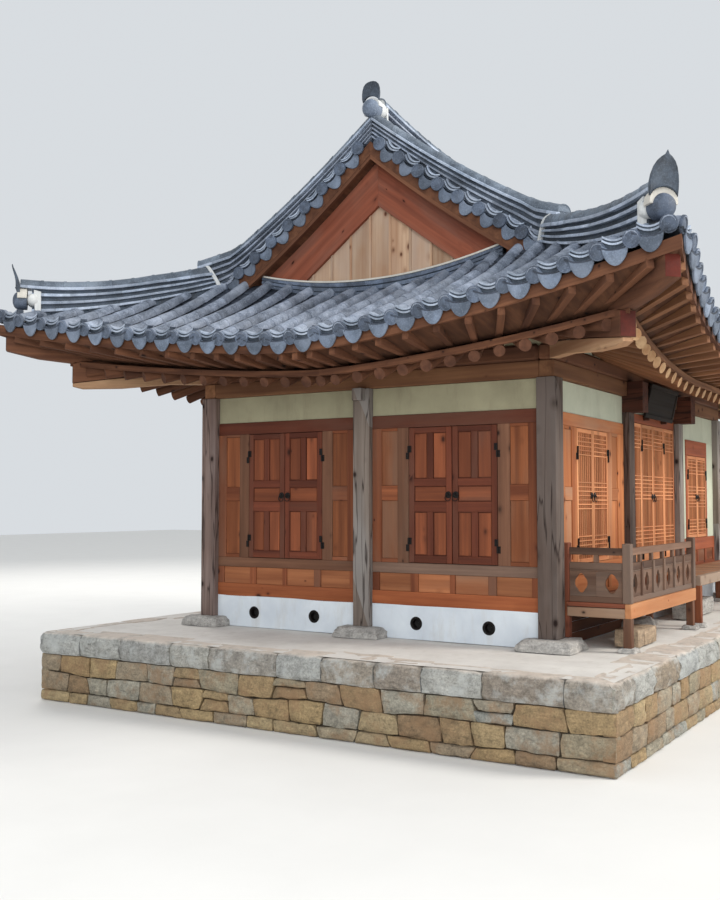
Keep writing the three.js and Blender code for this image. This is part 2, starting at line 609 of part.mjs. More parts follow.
addPiece('main_ridge', without(union([mainRidge, ...ridgeEndTiles]), slopesGrown), TILE);

// Corner ridges: down the verge from the main ridge, then out along the hip
const RIDGE_LINE_X = 3.47;
const FINIAL_W = 280;
const HIP_TIP_OUT = 1.63;
const FINIAL = [[1.60, 4.46], [1.62, 4.28], [1.74, 4.12], [1.81, 4.13], [1.83, 4.34], [1.91, 4.44],
  [1.90, 4.60], [1.86, 4.72], [1.78, 4.68], [1.68, 4.56]]; // out from the column, height
const roofTop = (x, y) => {
  const dFront = ROOF_Y - Math.abs(y);
  const dSide = ROOF_X - Math.abs(x);
  return dFront <= dSide || Math.abs(x) <= VERGE_X ? slopeTop(dFront, dSide) : skirtTop(dSide, dFront);
};

function cornerRidgePath() {
  const bend = { x: RIDGE_LINE_X, y: RIDGE_LINE_X - (ROOF_X - ROOF_Y) };
  const head = RIDGE_W / 2000 + GROW;
  const stations = [];
  const downSteps = 5;
  for (let k = 0; k < downSteps; k += 1) {
    const y = head + (bend.y - head) * k / downSteps;
    stations.push({ x: bend.x, y, nx: 1, ny: 0, height: 0.45 + 0.05 * k / downSteps });
  }
  const mitre = Math.tan(Math.PI / 8);
  stations.push({ ...bend, nx: 1, ny: -mitre, height: 0.50 });
  const tip = { x: HALF_X / 1000 + HIP_TIP_OUT, y: HALF_Y / 1000 + HIP_TIP_OUT };
  const outSteps = 6;
  for (let k = 1; k <= outSteps; k += 1) {
    const t = k / outSteps;
    stations.push({
      x: bend.x + (tip.x - bend.x) * t, y: bend.y + (tip.y - bend.y) * t,
      nx: Math.SQRT1_2, ny: -Math.SQRT1_2, height: 0.40 + 0.11 * t ** 3,
    });
  }
  return stations;
}

corners.forEach((corner) => {
  const stations = cornerRidgePath();
  const body = fieldSolid(stations.length, 2, (i, j) => {
    const { x, y, nx, ny, height } = stations[i];
    const offset = (j - 0.5) * RIDGE_W / 1000;
    const px = x + nx * offset;
    const py = y + ny * offset;
    return { x: corner.x * px, y: corner.y * py, top: roofTop(x, y) + height, bottom: roofTop(px, py) - 0.04 };
  });
  const outline = FINIAL.map(([out, h]) => [alongHip(out), P + h * 1000]);
  const finial = ontoHip(plate(outline, -FINIAL_W / 2, FINIAL_W / 2), corner);
  addPiece(`corner_ridge_${corner.name}`, without(body.add(finial), [...slopesGrown, ...skirtsGrown]), TILE);
});

// Veranda deck on posts, and its railing with cut-out panels
const inVeranda = (x0, x1, y0, y1, h0, h1) => box(cornerX + x0, cornerX + x1, frontY - y1, frontY - y0, P + h0, P + h1);
const postBox = (deck, { x, y }, h0, h1) =>
  inVeranda(x - deck.post / 2, x + deck.post / 2, y - deck.post / 2, y + deck.post / 2, h0, h1);
addPiece('veranda_deck', without(union([
  inVeranda(VERANDA.x0, VERANDA.x1, VERANDA.y0, VERANDA.y1, VERANDA.bottom, VERANDA.top),
  ...verandaPosts.map((post) => postBox(VERANDA, post, FOOTING_H, VERANDA.bottom + 10)),
]), [...columnCutters, ...foundationStones(GAP)]), TIMBER);
addPiece('porch_deck', union([
  inVeranda(PORCH.x0, PORCH.x1, PORCH.y0, PORCH.y1, PORCH.bottom, PORCH.top),
  ...porchPosts.map((post) => postBox(PORCH, post, FOOTING_H, PORCH.bottom + 10)),
]), TIMBER);

const RAIL = { thick: 40, top: 1120, postTop: 1170, capDepth: 70 };
const HOLE = { h0: 640, h1: 810, bays: 6, sideBays: 2, slotH0: 957, slotH1: 1040 };
function railPanel(length, bays) {
  const plain = box(0, length, -RAIL.thick / 2, RAIL.thick / 2, P + VERANDA.top, P + RAIL.top);
  const step = length / bays;
  const holes = [];
  for (let k = 0; k < bays; k += 1) {
    const middle = step * (k + 0.5);
    const radius = (HOLE.h1 - HOLE.h0) / 2;
    holes.push(cylinder(radius, 200, 8, 'y', [middle, 0, P + (HOLE.h0 + HOLE.h1) / 2]));
    holes.push(box(middle - 0.42 * step, middle + 0.42 * step, -100, 100, P + HOLE.slotH0, P + HOLE.slotH1));
  }
  return without(plain, holes);
}
const frontRail = railPanel(VERANDA.x1 - VERANDA.x0 - VERANDA.post, HOLE.bays)
  .translate([cornerX + VERANDA.x0 + VERANDA.post / 2, frontY - VERANDA.y1 + VERANDA.post / 2, 0]);
const sideRail = railPanel(VERANDA.y1 - VERANDA.y0 - VERANDA.post, HOLE.sideBays).rotate([0, 0, 90])
  .translate([cornerX + VERANDA.x0 + VERANDA.post / 2, frontY - VERANDA.y1 + VERANDA.post / 2, 0]);
const railEnd = { x: VERANDA.x1 - VERANDA.post / 2, y: VERANDA.y1 - VERANDA.post / 2 };
const railPosts = [verandaPosts[0], verandaPosts[1], railEnd];
addPiece('veranda_rail', union([
  frontRail, sideRail,
  ...railPosts.map((post) => postBox(VERANDA, post, VERANDA.top, RAIL.postTop)),
]), GREY_TIMBER);

// Stepping stones before the veranda and the porch
addPiece('stepping_stone_veranda', inVeranda(530, 1260, 520, 810, 0, 215), STONE);
addPiece('stepping_stone_porch', inVeranda(3700, 5120, 290, 540, 0, 240), GRANITE);

// Name board over the middle bay, bare, tilted forward on two brackets
const BOARD = { width: 1330, height: 470, thick: 35, border: 60, bottom: 2780, out: 100, tilt: 13 };
const BRACKET = { x: 420, width: 50, bottom: 2750, height: 60 };
const boardX = (COLUMN_X[1] + COLUMN_X[2]) / 2;
const flatBoard = box(-BOARD.width / 2, BOARD.width / 2, -BOARD.thick, 0, 0, BOARD.height)
  .subtract(box(-BOARD.width / 2 + BOARD.border, BOARD.width / 2 - BOARD.border,
    -BOARD.thick - 10, -BOARD.thick + 12, BOARD.border, BOARD.height - BOARD.border));
const tiltedBoard = flatBoard.rotate([BOARD.tilt, 0, 0]).translate([boardX, frontY - BOARD.out, P + BOARD.bottom]);
const boardBrackets = [-1, 1].map((side) => box(
  boardX + side * BRACKET.x - BRACKET.width / 2, boardX + side * BRACKET.x + BRACKET.width / 2,
  frontY - BOARD.out - 20, frontY - WALL_OUT - GAP, P + BRACKET.bottom, P + BRACKET.bottom + BRACKET.height));
addPiece('signboard', union([tiltedBoard, ...boardBrackets]), BLACK);

export default house;
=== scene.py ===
import math
import random

import bmesh
import bpy
import numpy as np
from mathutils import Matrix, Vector, noise


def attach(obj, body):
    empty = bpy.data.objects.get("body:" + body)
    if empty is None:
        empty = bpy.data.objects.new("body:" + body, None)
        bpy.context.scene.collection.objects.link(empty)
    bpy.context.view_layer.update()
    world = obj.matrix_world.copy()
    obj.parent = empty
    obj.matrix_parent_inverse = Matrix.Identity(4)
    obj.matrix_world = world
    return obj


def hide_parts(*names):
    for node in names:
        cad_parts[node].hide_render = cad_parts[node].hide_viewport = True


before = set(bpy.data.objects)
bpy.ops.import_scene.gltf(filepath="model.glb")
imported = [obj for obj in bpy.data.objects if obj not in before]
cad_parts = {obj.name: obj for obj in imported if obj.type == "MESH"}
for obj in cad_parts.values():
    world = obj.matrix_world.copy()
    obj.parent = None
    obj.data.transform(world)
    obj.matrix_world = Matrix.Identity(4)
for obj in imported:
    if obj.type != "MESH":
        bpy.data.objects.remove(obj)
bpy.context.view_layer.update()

rng = random.Random(11)

# Plan and heights, in metres, as in the part's source
P = 0.85
SIDE_BAY = 2.4
COLUMN_X = (-3.7, -1.1, 1.3, 3.7)
HALF_X = 3.7
HALF_Y = 2.4
PLATFORM_X = HALF_X + 1.8
PLATFORM_Y = HALF_Y + 1.33
COPING_Z = 0.58
HALF_COLUMN = 0.115
WALL_OUT = 0.036
WALL_IN = 0.136
BASE_TOP = 0.40
COLUMN_TOP = 3.01
TIE_TOP = 3.20
PURLIN_TOP = 3.39
RECESS = 0.014

# Roof curves, d in from the straight eaves line, q along it from the corner
EAVES_OUT = 2.05
ROOF_X = HALF_X + EAVES_OUT
ROOF_Y = HALF_Y + EAVES_OUT
VERGE_X = 3.60
VERGE_Q = ROOF_X - VERGE_X
PEDIMENT_IN = 3.27
PEDIMENT_OUT = 3.35
SKIRT_RUN = ROOF_X - PEDIMENT_IN
EAVES_INSET = 0.48
EAVES_TOP = P + 3.43
EAVES_UNDER = P + 3.29
ROOF_SLOPE = 0.445
ROOF_HOLLOW = 0.056
TOP_SWEEP = 0.79
UNDER_SWEEP = 0.69
RIDGE_LINE_X = 3.47
RAFTER_R = 0.065
RAFTER_ROOT = 2.15
RAFTER_LEVEL = P + 3.015
RAFTER_SLOPE = 0.435
CORNER_REACH = 0.74
MIDDLE_REACH = 1.05


def clamp01(value):
    return min(max(value, 0.0), 1.0)


def ease_out(t):
    return 1 - (1 - clamp01(t)) ** 2


def sweep(d, q):
    return (1 - clamp01(q / ROOF_Y)) ** 1.55 * (1 - 0.62 * d / ROOF_Y)


def slope_top(d, q, hollow_share=1.0):
    run = d - EAVES_INSET
    return EAVES_TOP + ROOF_SLOPE * run + ROOF_HOLLOW * run ** 2 * hollow_share + TOP_SWEEP * sweep(d, q)


def skirt_top(d, q):
    return slope_top(d, q, math.exp(-((q - d) ** 2)))


def underside(d, q):
    inner = 0.61 * max(d - EAVES_OUT, 0) - 0.18 * max(EAVES_INSET - d, 0)
    return EAVES_UNDER + 0.17 * (d - EAVES_INSET) + inner + UNDER_SWEEP * sweep(d, q)


def eaves_inset(q):
    return EAVES_INSET * ease_out(q / ROOF_Y)


def rafter_reach(q):
    """Depth of the round rafters' ends, in from the eaves line."""
    return CORNER_REACH + 0.31 * ease_out((q - CORNER_REACH) / (ROOF_Y - CORNER_REACH))


def rafter_height(d, q):
    return RAFTER_LEVEL + RAFTER_SLOPE * (d - MIDDLE_REACH) + UNDER_SWEEP * sweep(d, q)


def unit(vector):
    return vector / np.linalg.norm(vector)


def crosswise(ahead):
    """Two directions square to ahead and to each other."""
    helper = (0, 0, 1) if abs(ahead[2]) < 0.9 else (1, 0, 0)
    across = unit(np.cross(helper, ahead))
    return across, np.cross(ahead, across)


def lengths_along(line):
    """Distance of each point of a line from its start."""
    return np.concatenate([[0], np.cumsum(np.linalg.norm(np.diff(line, axis=0), axis=1))])


def turns(count):
    return [2 * math.pi * k / count for k in range(count)]


def grain_shift():
    return np.array([rng.uniform(0, 60) for _ in range(3)])


# Many small solids gathered in one mesh, each with its own grain and tint
class Pile:
    def __init__(self):
        self.points = []
        self.faces = []
        self.grain = []
        self.tint = []
        self.looks = []
        self.smooth = []

    def add(self, points, faces, grain=None, tint=None, look=0, smooth=False):
        base = len(self.points)
        points = np.asarray(points, float)
        if grain is None:
            grain = points
        if tint is None:
            tint = rng.random()
        self.points.extend(points.tolist())
        self.grain.extend(np.asarray(grain, float).tolist())
        self.tint.extend([tint] * len(points))
        self.faces.extend([tuple(base + i for i in face) for face in faces])
        self.looks.extend([look] * len(faces))
        self.smooth.extend([smooth] * len(faces))

    def make(self, name, looks, body="house", slot=None, replaces=(), closed=False):
        mesh = bpy.data.meshes.new(name)
        mesh.from_pydata(self.points, [], self.faces)
        if closed:
            self.face_outward(mesh)
        for look in looks:
            mesh.materials.append(look)
        mesh.polygons.foreach_set("material_index", self.looks)
        mesh.polygons.foreach_set("use_smooth", self.smooth)
        grain = mesh.attributes.new("grain", "FLOAT_VECTOR", "POINT")
        grain.data.foreach_set("vector", np.ravel(self.grain))
        tint = mesh.attributes.new("tint", "FLOAT", "POINT")
        tint.data.foreach_set("value", self.tint)
        mesh.set_sharp_from_angle(angle=math.radians(38))
        mesh.update()
        piece = bpy.data.objects.new(name, mesh)
        bpy.context.scene.collection.objects.link(piece)
        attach(piece, body)
        if replaces:
            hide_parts(*replaces)
        return piece

    def face_outward(self, mesh):
        work = bmesh.new()
        work.from_mesh(mesh)
        bmesh.ops.recalc_face_normals(work, faces=work.faces)
        work.to_mesh(mesh)
        work.free()


def eased_box_faces():
    """Corners and faces of a box with chamfered edges; each corner is three points."""
    signs = [(x, y, z) for x in (-1, 1) for y in (-1, 1) for z in (-1, 1)]
    faces = []
    for axis in range(3):
        for side in (-1, 1):
            ring = [i for i, s in enumerate(signs) if s[axis] == side]
            a, b = [k for k in range(3) if k != axis]
            ring.sort(key=lambda i: math.atan2(signs[i][a], signs[i][b]))
            faces.append([3 * i + axis for i in ring])
    for i, s in enumerate(signs):
        faces.append([3 * i, 3 * i + 1, 3 * i + 2])
        for axis in range(3):
            if s[axis] < 0:
                other = signs.index(tuple(-v if k == axis else v for k, v in enumerate(s)))
                a, b = [k for k in range(3) if k != axis]
                faces.append([3 * i + a, 3 * other + a, 3 * other + b, 3 * i + b])
    points = eased_points(signs, (1, 1, 1), 0.2)
    for face in faces:
        loop = points[face]
        normal = np.cross(loop[1] - loop[0], loop[2] - loop[0])
        if normal @ loop.mean(0) < 0:
            face.reverse()
    return signs, faces


def eased_points(signs, half, edge):
    edge = min(edge, 0.4 * min(half))
    points = []
    for s in signs:
        for axis in range(3):
            points.append([s[k] * (half[k] - (0 if k == axis else edge)) for k in range(3)])
    return np.array(points)


SIGNS, EASED_FACES = eased_box_faces()
AXES = {"x": (0, 1, 2), "y": (1, 0, 2), "z": (2, 0, 1)}


def timber(pile, lo, hi, along="x", look=0, edge=0.004, place=None, tint=None):
    """A squared member with eased edges and its grain along one axis."""
    lo, hi = np.array(lo, float), np.array(hi, float)
    local = eased_points(SIGNS, (hi - lo) / 2, edge)
    grain = local[:, AXES[along]] + grain_shift()
    points = local + (lo + hi) / 2
    pile.add(place(points) if place else points, EASED_FACES, grain, tint, look)


def beam_between(pile, start, end, width, height, look):
    """A squared member from one point to another."""
    length = np.linalg.norm(end - start)
    ahead = (end - start) / length
    local = eased_points(SIGNS, (length / 2, width / 2, height / 2), 0.004)
    grain = local + grain_shift()
    points = local @ np.array([ahead, *crosswise(ahead)]) + (start + end) / 2
    pile.add(points, EASED_FACES, grain, None, look)


def tube_faces(rings, around, closed=True):
    faces = []
    for i in range(rings - 1):
        for j in range(around if closed else around - 1):
            k = (j + 1) % around
            faces.append((i * around + j, i * around + k, (i + 1) * around + k, (i + 1) * around + j))
    return faces


def tube_ends(rings, around):
    return [tuple(reversed(range(around))), tuple(range((rings - 1) * around, rings * around))]


def rod(pile, start, end, radius, radius_end, look, cap_look, sides=12):
    """A round member with flat ends."""
    length = np.linalg.norm(end - start)
    across, above = crosswise((end - start) / length)
    points, grain = [], []
    shift = grain_shift()
    for r, base, along in ((radius, start, 0.0), (radius_end, end, length)):
        for a in turns(sides):
            points.append(base + r * (math.cos(a) * across + math.sin(a) * above))
            grain.append([along + shift[0], r * math.cos(a) + shift[1], r * math.sin(a) + shift[2]])
    tint = rng.random()
    pile.add(points, tube_faces(2, sides), grain, tint, look, True)
    pile.add(points, tube_ends(2, sides), grain, tint, cap_look)


def sheet(pile, rows, look=0, tint=None, smooth=True):
    """A surface through rows of points."""
    points = [p for row in rows for p in row]
    pile.add(points, tube_faces(len(rows), len(rows[0]), False), None, tint, look, smooth)


def torus(pile, centre, normal, ring, thick, look, around=20, sides=8):
    normal = unit(normal)
    a, b = crosswise(normal)
    points = []
    for i in range(around + 1):
        t = 2 * math.pi * i / around
        out = math.cos(t) * a + math.sin(t) * b
        for s in turns(sides):
            points.append(centre + out * (ring + thick * math.cos(s)) + normal * thick * math.sin(s))
    pile.add(points, tube_faces(around + 1, sides), None, None, look, True)


def lathe(pile, centre, axis, profile, sides, look, tint):
    """A turned form: profile gives radius and distance along the axis."""
    axis = unit(np.array(axis, float))
    a, b = crosswise(axis)
    points = [np.array(centre) + axis * along + radius * (math.cos(t) * a + math.sin(t) * b)
              for radius, along in profile for t in turns(sides)]
    pile.add(points, tube_faces(len(profile), sides), None, tint, look, True)


# Materials; colours are red, green and blue from 0 to 255
def linear(value):
    """A colour as a socket takes it; anything else stays what it is."""
    if not isinstance(value, tuple) or len(value) != 3:
        return value
    shares = [v / 255 for v in value]
    return tuple(v / 12.92 if v <= 0.04045 else ((v + 0.055) / 1.055) ** 2.4 for v in shares) + (1.0,)


class Graph:
    def __init__(self, name):
        self.material = bpy.data.materials.new(name)
        self.material.use_nodes = True
        self.tree = self.material.node_tree
        self.shader = self.tree.nodes["Principled BSDF"]

    def put(self, socket, value):
        if isinstance(value, bpy.types.NodeSocket):
            self.tree.links.new(value, socket)
        else:
            socket.default_value = value

    def add(self, kind, settings=None, **inputs):
        node = self.tree.nodes.new("ShaderNode" + kind)
        for key, value in (settings or {}).items():
            setattr(node, key, value)
        for key, value in inputs.items():
            self.put(node.inputs[key.replace("_", " ")], value)
        return node

    def attribute(self, name, output):
        return self.add("Attribute", {"attribute_name": name}).outputs[output]

    def position(self):
        return self.add("TexCoord").outputs["Object"]

    def scaled(self, vector, scale, rotation=(0, 0, 0)):
        return self.add("Mapping", Vector=vector, Scale=scale, Rotation=rotation).outputs["Vector"]

    def noise(self, vector, scale, detail=4.0, roughness=0.55):
        node = self.add("TexNoise", Vector=vector, Scale=scale, Detail=detail, Roughness=roughness)
        return node.outputs["Fac"]

    def stretched(self, vector, scale, detail, roughness=0.55):
        return self.noise(self.scaled(vector, scale), 1.0, detail, roughness)

    def ramp(self, fac, stops):
        node = self.add("ValToRGB", Fac=fac)
        elements = node.color_ramp.elements
        while len(elements) < len(stops):
            elements.new(0.5)
        for element, (place, value) in zip(elements, stops):
            element.position = place
            element.color = linear(value) if isinstance(value, tuple) else (value, value, value, 1)
        return node.outputs["Color"]

    def mix(self, fac, a, b, blend="MIX"):
        node = self.add("Mix", {"data_type": "RGBA", "blend_type": blend})
        for index, value in ((0, fac), (6, a), (7, b)):
            self.put(node.inputs[index], linear(value))
        return node.outputs[2]

    def veil(self, colour, fac, stops, over):
        """Another colour laid over this one where the stops say."""
        return self.mix(self.ramp(fac, stops), colour, over)

    def shade(self, colour, fac, stops):
        return self.mix(1.0, colour, self.ramp(fac, stops), "MULTIPLY")

    def math(self, operation, a, b=0.0):
        node = self.add("Math", {"operation": operation})
        self.put(node.inputs[0], a)
        self.put(node.inputs[1], b)
        return node.outputs[0]

    def plus(self, a, b):
        return self.math("ADD", a, b)

    def times(self, a, b):
        return self.math("MULTIPLY", a, b)

    def bump(self, height, strength, distance):
        return self.add("Bump", Height=height, Strength=strength, Distance=distance).outputs["Normal"]

    def finish(self, colour, roughness, normal=None):
        self.put(self.shader.inputs["Base Color"], colour)
        self.put(self.shader.inputs["Roughness"], roughness)
        if normal:
            self.put(self.shader.inputs["Normal"], normal)
        return self.material


def wood(name, light, dark, knot, grey=None, grey_share=0.5, rough=0.72, axis=None, knots=1.0):
    """Pine with streaks, fibres and knots; axis is for solids that carry no grain of their own."""
    g = Graph(name)
    if axis:
        turn = {"x": (0, 0, 0), "y": (0, 0, math.pi / 2), "z": (0, math.pi / 2, 0)}[axis]
        vector = g.scaled(g.position(), (1, 1, 1), turn)
        tint = g.stretched(g.position(), (0.31, 0.37, 0.11), 0.0)
    else:
        vector = g.attribute("grain", "Vector")
        tint = g.attribute("tint", "Fac")
    streak = g.stretched(vector, (0.6, 34, 34), 4.0)
    band = g.stretched(vector, (0.5, 9, 9), 3.0, 0.5)
    fibre = g.stretched(vector, (6, 220, 220), 3.0, 0.6)
    blotch = g.stretched(vector, (0.9, 3, 3), 3.0)
    cell = g.add("TexVoronoi", Vector=g.scaled(vector, (4.2, 6.2, 6.2)), Scale=1.0, Randomness=1.0)
    chance = g.add("SeparateColor", Color=cell.outputs["Color"]).outputs
    near = g.math("DIVIDE", cell.outputs["Distance"], g.plus(0.25, g.times(chance["Red"], 1.2)))
    sparse = g.times(g.math("GREATER_THAN", chance["Green"], 0.45), knots)
    spot = g.times(g.ramp(near, [(0.0, 1.0), (0.09, 0.9), (0.14, 0.25), (0.2, 0.0)]), sparse)
    ring = g.times(g.ramp(near, [(0.12, 0.55), (0.32, 0.0)]), sparse)
    colour = g.mix(g.ramp(band, [(0.30, 0.1), (0.70, 0.95)]), dark, light)
    colour = g.mix(g.times(g.ramp(streak, [(0.40, 0.0), (0.72, 1.0)]), 0.45), colour, dark)
    colour = g.mix(g.times(g.ramp(fibre, [(0.45, 0.0), (0.75, 1.0)]), 0.25), colour, dark)
    colour = g.shade(colour, tint, [(0.0, 0.68), (0.5, 0.93), (1.0, 1.15)])
    if grey:
        board = g.math("FRACT", g.times(tint, 7.31))
        wear = g.plus(g.times(board, 0.6), g.times(blotch, 0.8))
        weathered = g.ramp(wear, [(0.95 - 0.55 * grey_share, 0.0), (1.25 - 0.55 * grey_share, 1.0)])
        weathered = g.times(weathered, 0.35 + 0.6 * grey_share)
        colour = g.mix(weathered, colour, g.mix(band, grey, g.mix(0.5, grey, dark)))
    colour = g.veil(colour, blotch, [(0.30, 0.35), (0.5, 0.0)], dark)
    colour = g.mix(spot, g.mix(ring, colour, dark), knot)
    height = g.plus(g.times(fibre, 0.6), g.times(streak, 0.5))
    height = g.math("SUBTRACT", height, g.times(spot, 0.3))
    if axis:
        crack = g.ramp(g.stretched(vector, (0.5, 8, 8), 2.0), [(0.478, 0.0), (0.5, 0.85), (0.522, 0.0)])
        colour = g.mix(crack, colour, knot)
        height = g.math("SUBTRACT", height, crack)
    g.shader.inputs["Specular IOR Level"].default_value = 0.22
    gloss = g.ramp(streak, [(0.2, rough + 0.1), (0.8, rough - 0.06)])
    return g.finish(colour, gloss, g.bump(height, 0.4, 0.004))


def clay(name, dark, mid, light, rough=0.68):
    g = Graph(name)
    spot = g.position()
    cloud = g.noise(spot, 6.0, 6.0, 0.65)
    speck = g.noise(spot, 60.0, 5.0, 0.7)
    colour = g.mix(g.ramp(cloud, [(0.38, 0.0), (0.62, 1.0)]), dark, mid)
    colour = g.veil(colour, speck, [(0.52, 0.0), (0.72, 0.6)], light)
    colour = g.veil(colour, speck, [(0.30, 0.5), (0.44, 0.0)], dark)
    colour = g.veil(colour, g.noise(spot, 1.7, 5.0, 0.6), [(0.5, 0.0), (0.75, 0.5)], light)
    colour = g.shade(colour, g.attribute("tint", "Fac"), [(0.0, 0.72), (0.6, 1.0), (1.0, 1.2)])
    gloss = g.ramp(cloud, [(0.3, rough - 0.08), (0.7, rough + 0.1)])
    return g.finish(colour, gloss, g.bump(g.plus(g.times(speck, 0.6), cloud), 0.5, 0.007))


def stone(name, colours, rough=0.92, bump=1.0, vein=None, dust_from=None):
    """Rough stone whose colour changes from stone to stone; dust lies on it above a height."""
    g = Graph(name)
    spot = g.position()
    last = len(colours) - 1
    base = g.ramp(g.attribute("tint", "Fac"), [(k / last, colour) for k, colour in enumerate(colours)])
    cloud = g.noise(spot, 9.0, 8.0, 0.68)
    grit = g.noise(spot, 48.0, 8.0, 0.72)
    streak = g.noise(g.scaled(spot, (4, 4, 15), (0.6, 0.3, 0.4)), 2.0, 7.0, 0.7)
    colour = g.shade(base, cloud, [(0.28, 0.55), (0.5, 1.0), (0.72, 1.28)])
    colour = g.shade(colour, grit, [(0.32, 0.62), (0.52, 1.0), (0.68, 1.25)])
    colour = g.shade(colour, streak, [(0.34, 0.62), (0.45, 0.98), (0.56, 1.0), (0.66, 1.32)])
    if vein:
        colour = g.veil(colour, g.noise(spot, 3.1, 7.0, 0.72), [(0.48, 0.0), (0.62, 0.65)], vein)
    if dust_from:
        level = g.plus(g.add("SeparateXYZ", Vector=spot).outputs["Z"], g.times(cloud, 0.06))
        colour = g.veil(colour, level, [(dust_from, 0.0), (dust_from + 0.035, 0.85)], (216, 202, 188))
    height = g.plus(g.plus(g.times(cloud, 1.3), g.times(grit, 0.6)), g.times(streak, 0.5))
    return g.finish(colour, rough, g.bump(height, bump, 0.014))


def lime(name, light, dark, stain, rough=0.85):
    g = Graph(name)
    spot = g.position()
    cloud = g.noise(spot, 2.2, 6.0, 0.6)
    colour = g.mix(g.ramp(cloud, [(0.3, 0.0), (0.7, 1.0)]), dark, light)
    low = g.noise(g.scaled(spot, (3, 3, 0.7)), 2.0, 6.0, 0.7)
    colour = g.veil(colour, low, [(0.52, 0.0), (0.8, 0.6)], stain)
    return g.finish(colour, rough, g.bump(g.plus(g.noise(spot, 110.0, 3.0, 0.6), cloud), 0.2, 0.003))


def iron(name):
    g = Graph(name)
    rust = g.noise(g.position(), 90.0, 5.0, 0.7)
    colour = g.mix(g.ramp(rust, [(0.5, 0.0), (0.72, 0.7)]), (22, 20, 19), (62, 42, 32))
    g.shader.inputs["Metallic"].default_value = 0.6
    return g.finish(colour, g.ramp(rust, [(0.3, 0.45), (0.7, 0.7)]), g.bump(rust, 0.3, 0.001))


KNOT = (46, 22, 14)
DARK_KNOT = (30, 17, 13)
WOOD = wood("pine_frame", (156, 92, 59), (102, 54, 34), KNOT, (120, 96, 80), 0.30)
PANEL = wood("pine_panel", (155, 93, 57), (97, 53, 32), KNOT, (134, 106, 86), 0.40)
SHUTTER = wood("pine_shutter", (124, 66, 45), (80, 40, 28), KNOT, (104, 74, 60), 0.25)
SUNK = wood("pine_sunk", (166, 94, 60), (106, 57, 37), KNOT, (104, 76, 64), 0.35)
FRIEZE = wood("pine_frieze", (184, 120, 80), (133, 78, 49), KNOT, (146, 118, 96), 0.35)
LOW_BEAM = wood("pine_low_beam", (181, 107, 67), (124, 64, 37), KNOT, (140, 112, 92), 0.30)
WARM = wood("pine_warm", (196, 129, 82), (150, 84, 49), KNOT, (180, 150, 122), 0.25)
DEEP = wood("pine_deep", (170, 94, 60), (112, 55, 34), KNOT)
GREYED = wood("pine_greyed", (130, 91, 69), (86, 57, 42), DARK_KNOT, (118, 102, 86), 0.5)
SILL_GREY = wood("sill_greyed", (132, 106, 90), (88, 68, 58), DARK_KNOT, (130, 120, 114), 0.6)
RAIL_GREY = wood("rail_greyed", (133, 103, 84), (84, 61, 49), DARK_KNOT, (120, 106, 95), 0.45)
UNDER = wood("eaves_brown", (130, 87, 62), (76, 47, 34), DARK_KNOT, rough=0.8)
UNDER_PALE = wood("eaves_pale", (152, 108, 76), (98, 64, 44), KNOT, rough=0.8)
UNDER_BOARD = wood("soffit_board", (114, 76, 54), (65, 41, 29), DARK_KNOT, rough=0.85)
# Rafter ends: pale as lit on the front, darker on the other sides as painted shade
END_PALE = wood("end_pale", (206, 172, 132), (160, 118, 82), KNOT, rough=0.8, knots=0.4)
END_SHADED = wood("end_dark", (116, 78, 58), (72, 46, 35), DARK_KNOT, rough=0.85, knots=0.4)
RED_END = wood("red_end", (108, 43, 31), (80, 32, 24), DARK_KNOT, rough=0.75, knots=0.3)
RED_DARK = wood("red_end_dark", (104, 46, 36), (72, 33, 27), DARK_KNOT, rough=0.75, knots=0.3)
BRACKET = wood("bracket_pale", (186, 152, 118), (134, 96, 70), KNOT, rough=0.8, knots=0.4)
DARK_BEAM = wood("beam_dark", (100, 60, 42), (56, 34, 25), DARK_KNOT, rough=0.78)
PLANK = wood("pediment_plank", (212, 182, 152), (160, 120, 92), (86, 46, 30), (182, 168, 154), 0.4)
BARGE = wood("bargeboard", (166, 95, 69), (107, 57, 42), KNOT, (134, 104, 90), 0.3)
BRIGHT = wood("fascia_bright", (232, 172, 122), (192, 124, 80), (110, 56, 32), (198, 160, 130), 0.3)
FASCIA_GREY = wood("fascia_greyed", (168, 138, 112), (120, 92, 74), DARK_KNOT, (158, 142, 126), 0.7)
RED_POST = wood("post_reddish", (146, 84, 60), (96, 52, 37), KNOT, (122, 98, 84), 0.3)
COLUMN_GREY = wood("column_grey", (154, 140, 128), (100, 88, 80), DARK_KNOT, (148, 144, 140), 0.7, 0.8, "z")
COLUMN_DARK = wood("column_dark", (116, 98, 88), (66, 54, 48), DARK_KNOT, (114, 104, 98), 0.6, 0.8, "z")
COLUMN_PLUM = wood("column_plum", (150, 128, 118), (96, 78, 72), DARK_KNOT, (144, 132, 128), 0.5, 0.8, "z")
BEAM_Y = wood("beam_dark_solid", (104, 60, 43), (58, 34, 26), DARK_KNOT, rough=0.78, axis="y")
LATTICE_WOOD = wood("pine_lattice", (222, 158, 110), (176, 108, 70), KNOT, rough=0.7, knots=0.3)
FLOOR = wood("floor_pine", (186, 128, 82), (128, 78, 46), KNOT, rough=0.5, axis="x")
FLOOR_BOARD = wood("deck_board", (176, 132, 98), (122, 84, 58), KNOT, (140, 126, 116), 0.4)
SHADOW_BOARD = wood("board_under_deck", (98, 62, 44), (62, 38, 27), DARK_KNOT, rough=0.85)
CLAY = clay("tile_clay", (92, 101, 115), (141, 150, 166), (200, 207, 220))
CLAY_DARK = clay("tile_end", (42, 49, 58), (68, 78, 90), (106, 115, 128))
CLAY_PALE = clay("tile_drip", (78, 88, 102), (108, 119, 136), (146, 155, 170))
# Trough tiles are darker than the rows: painted shade deep in the troughs
CLAY_TROUGH_SHADE = clay("tile_trough_shade", (34, 40, 50), (58, 66, 80), (98, 106, 122))
CLAY_BAND = clay("ridge_band", (126, 138, 154), (168, 178, 194), (206, 213, 224))
CLAY_CAP = clay("ridge_cap", (74, 83, 94), (108, 119, 132), (160, 170, 182))
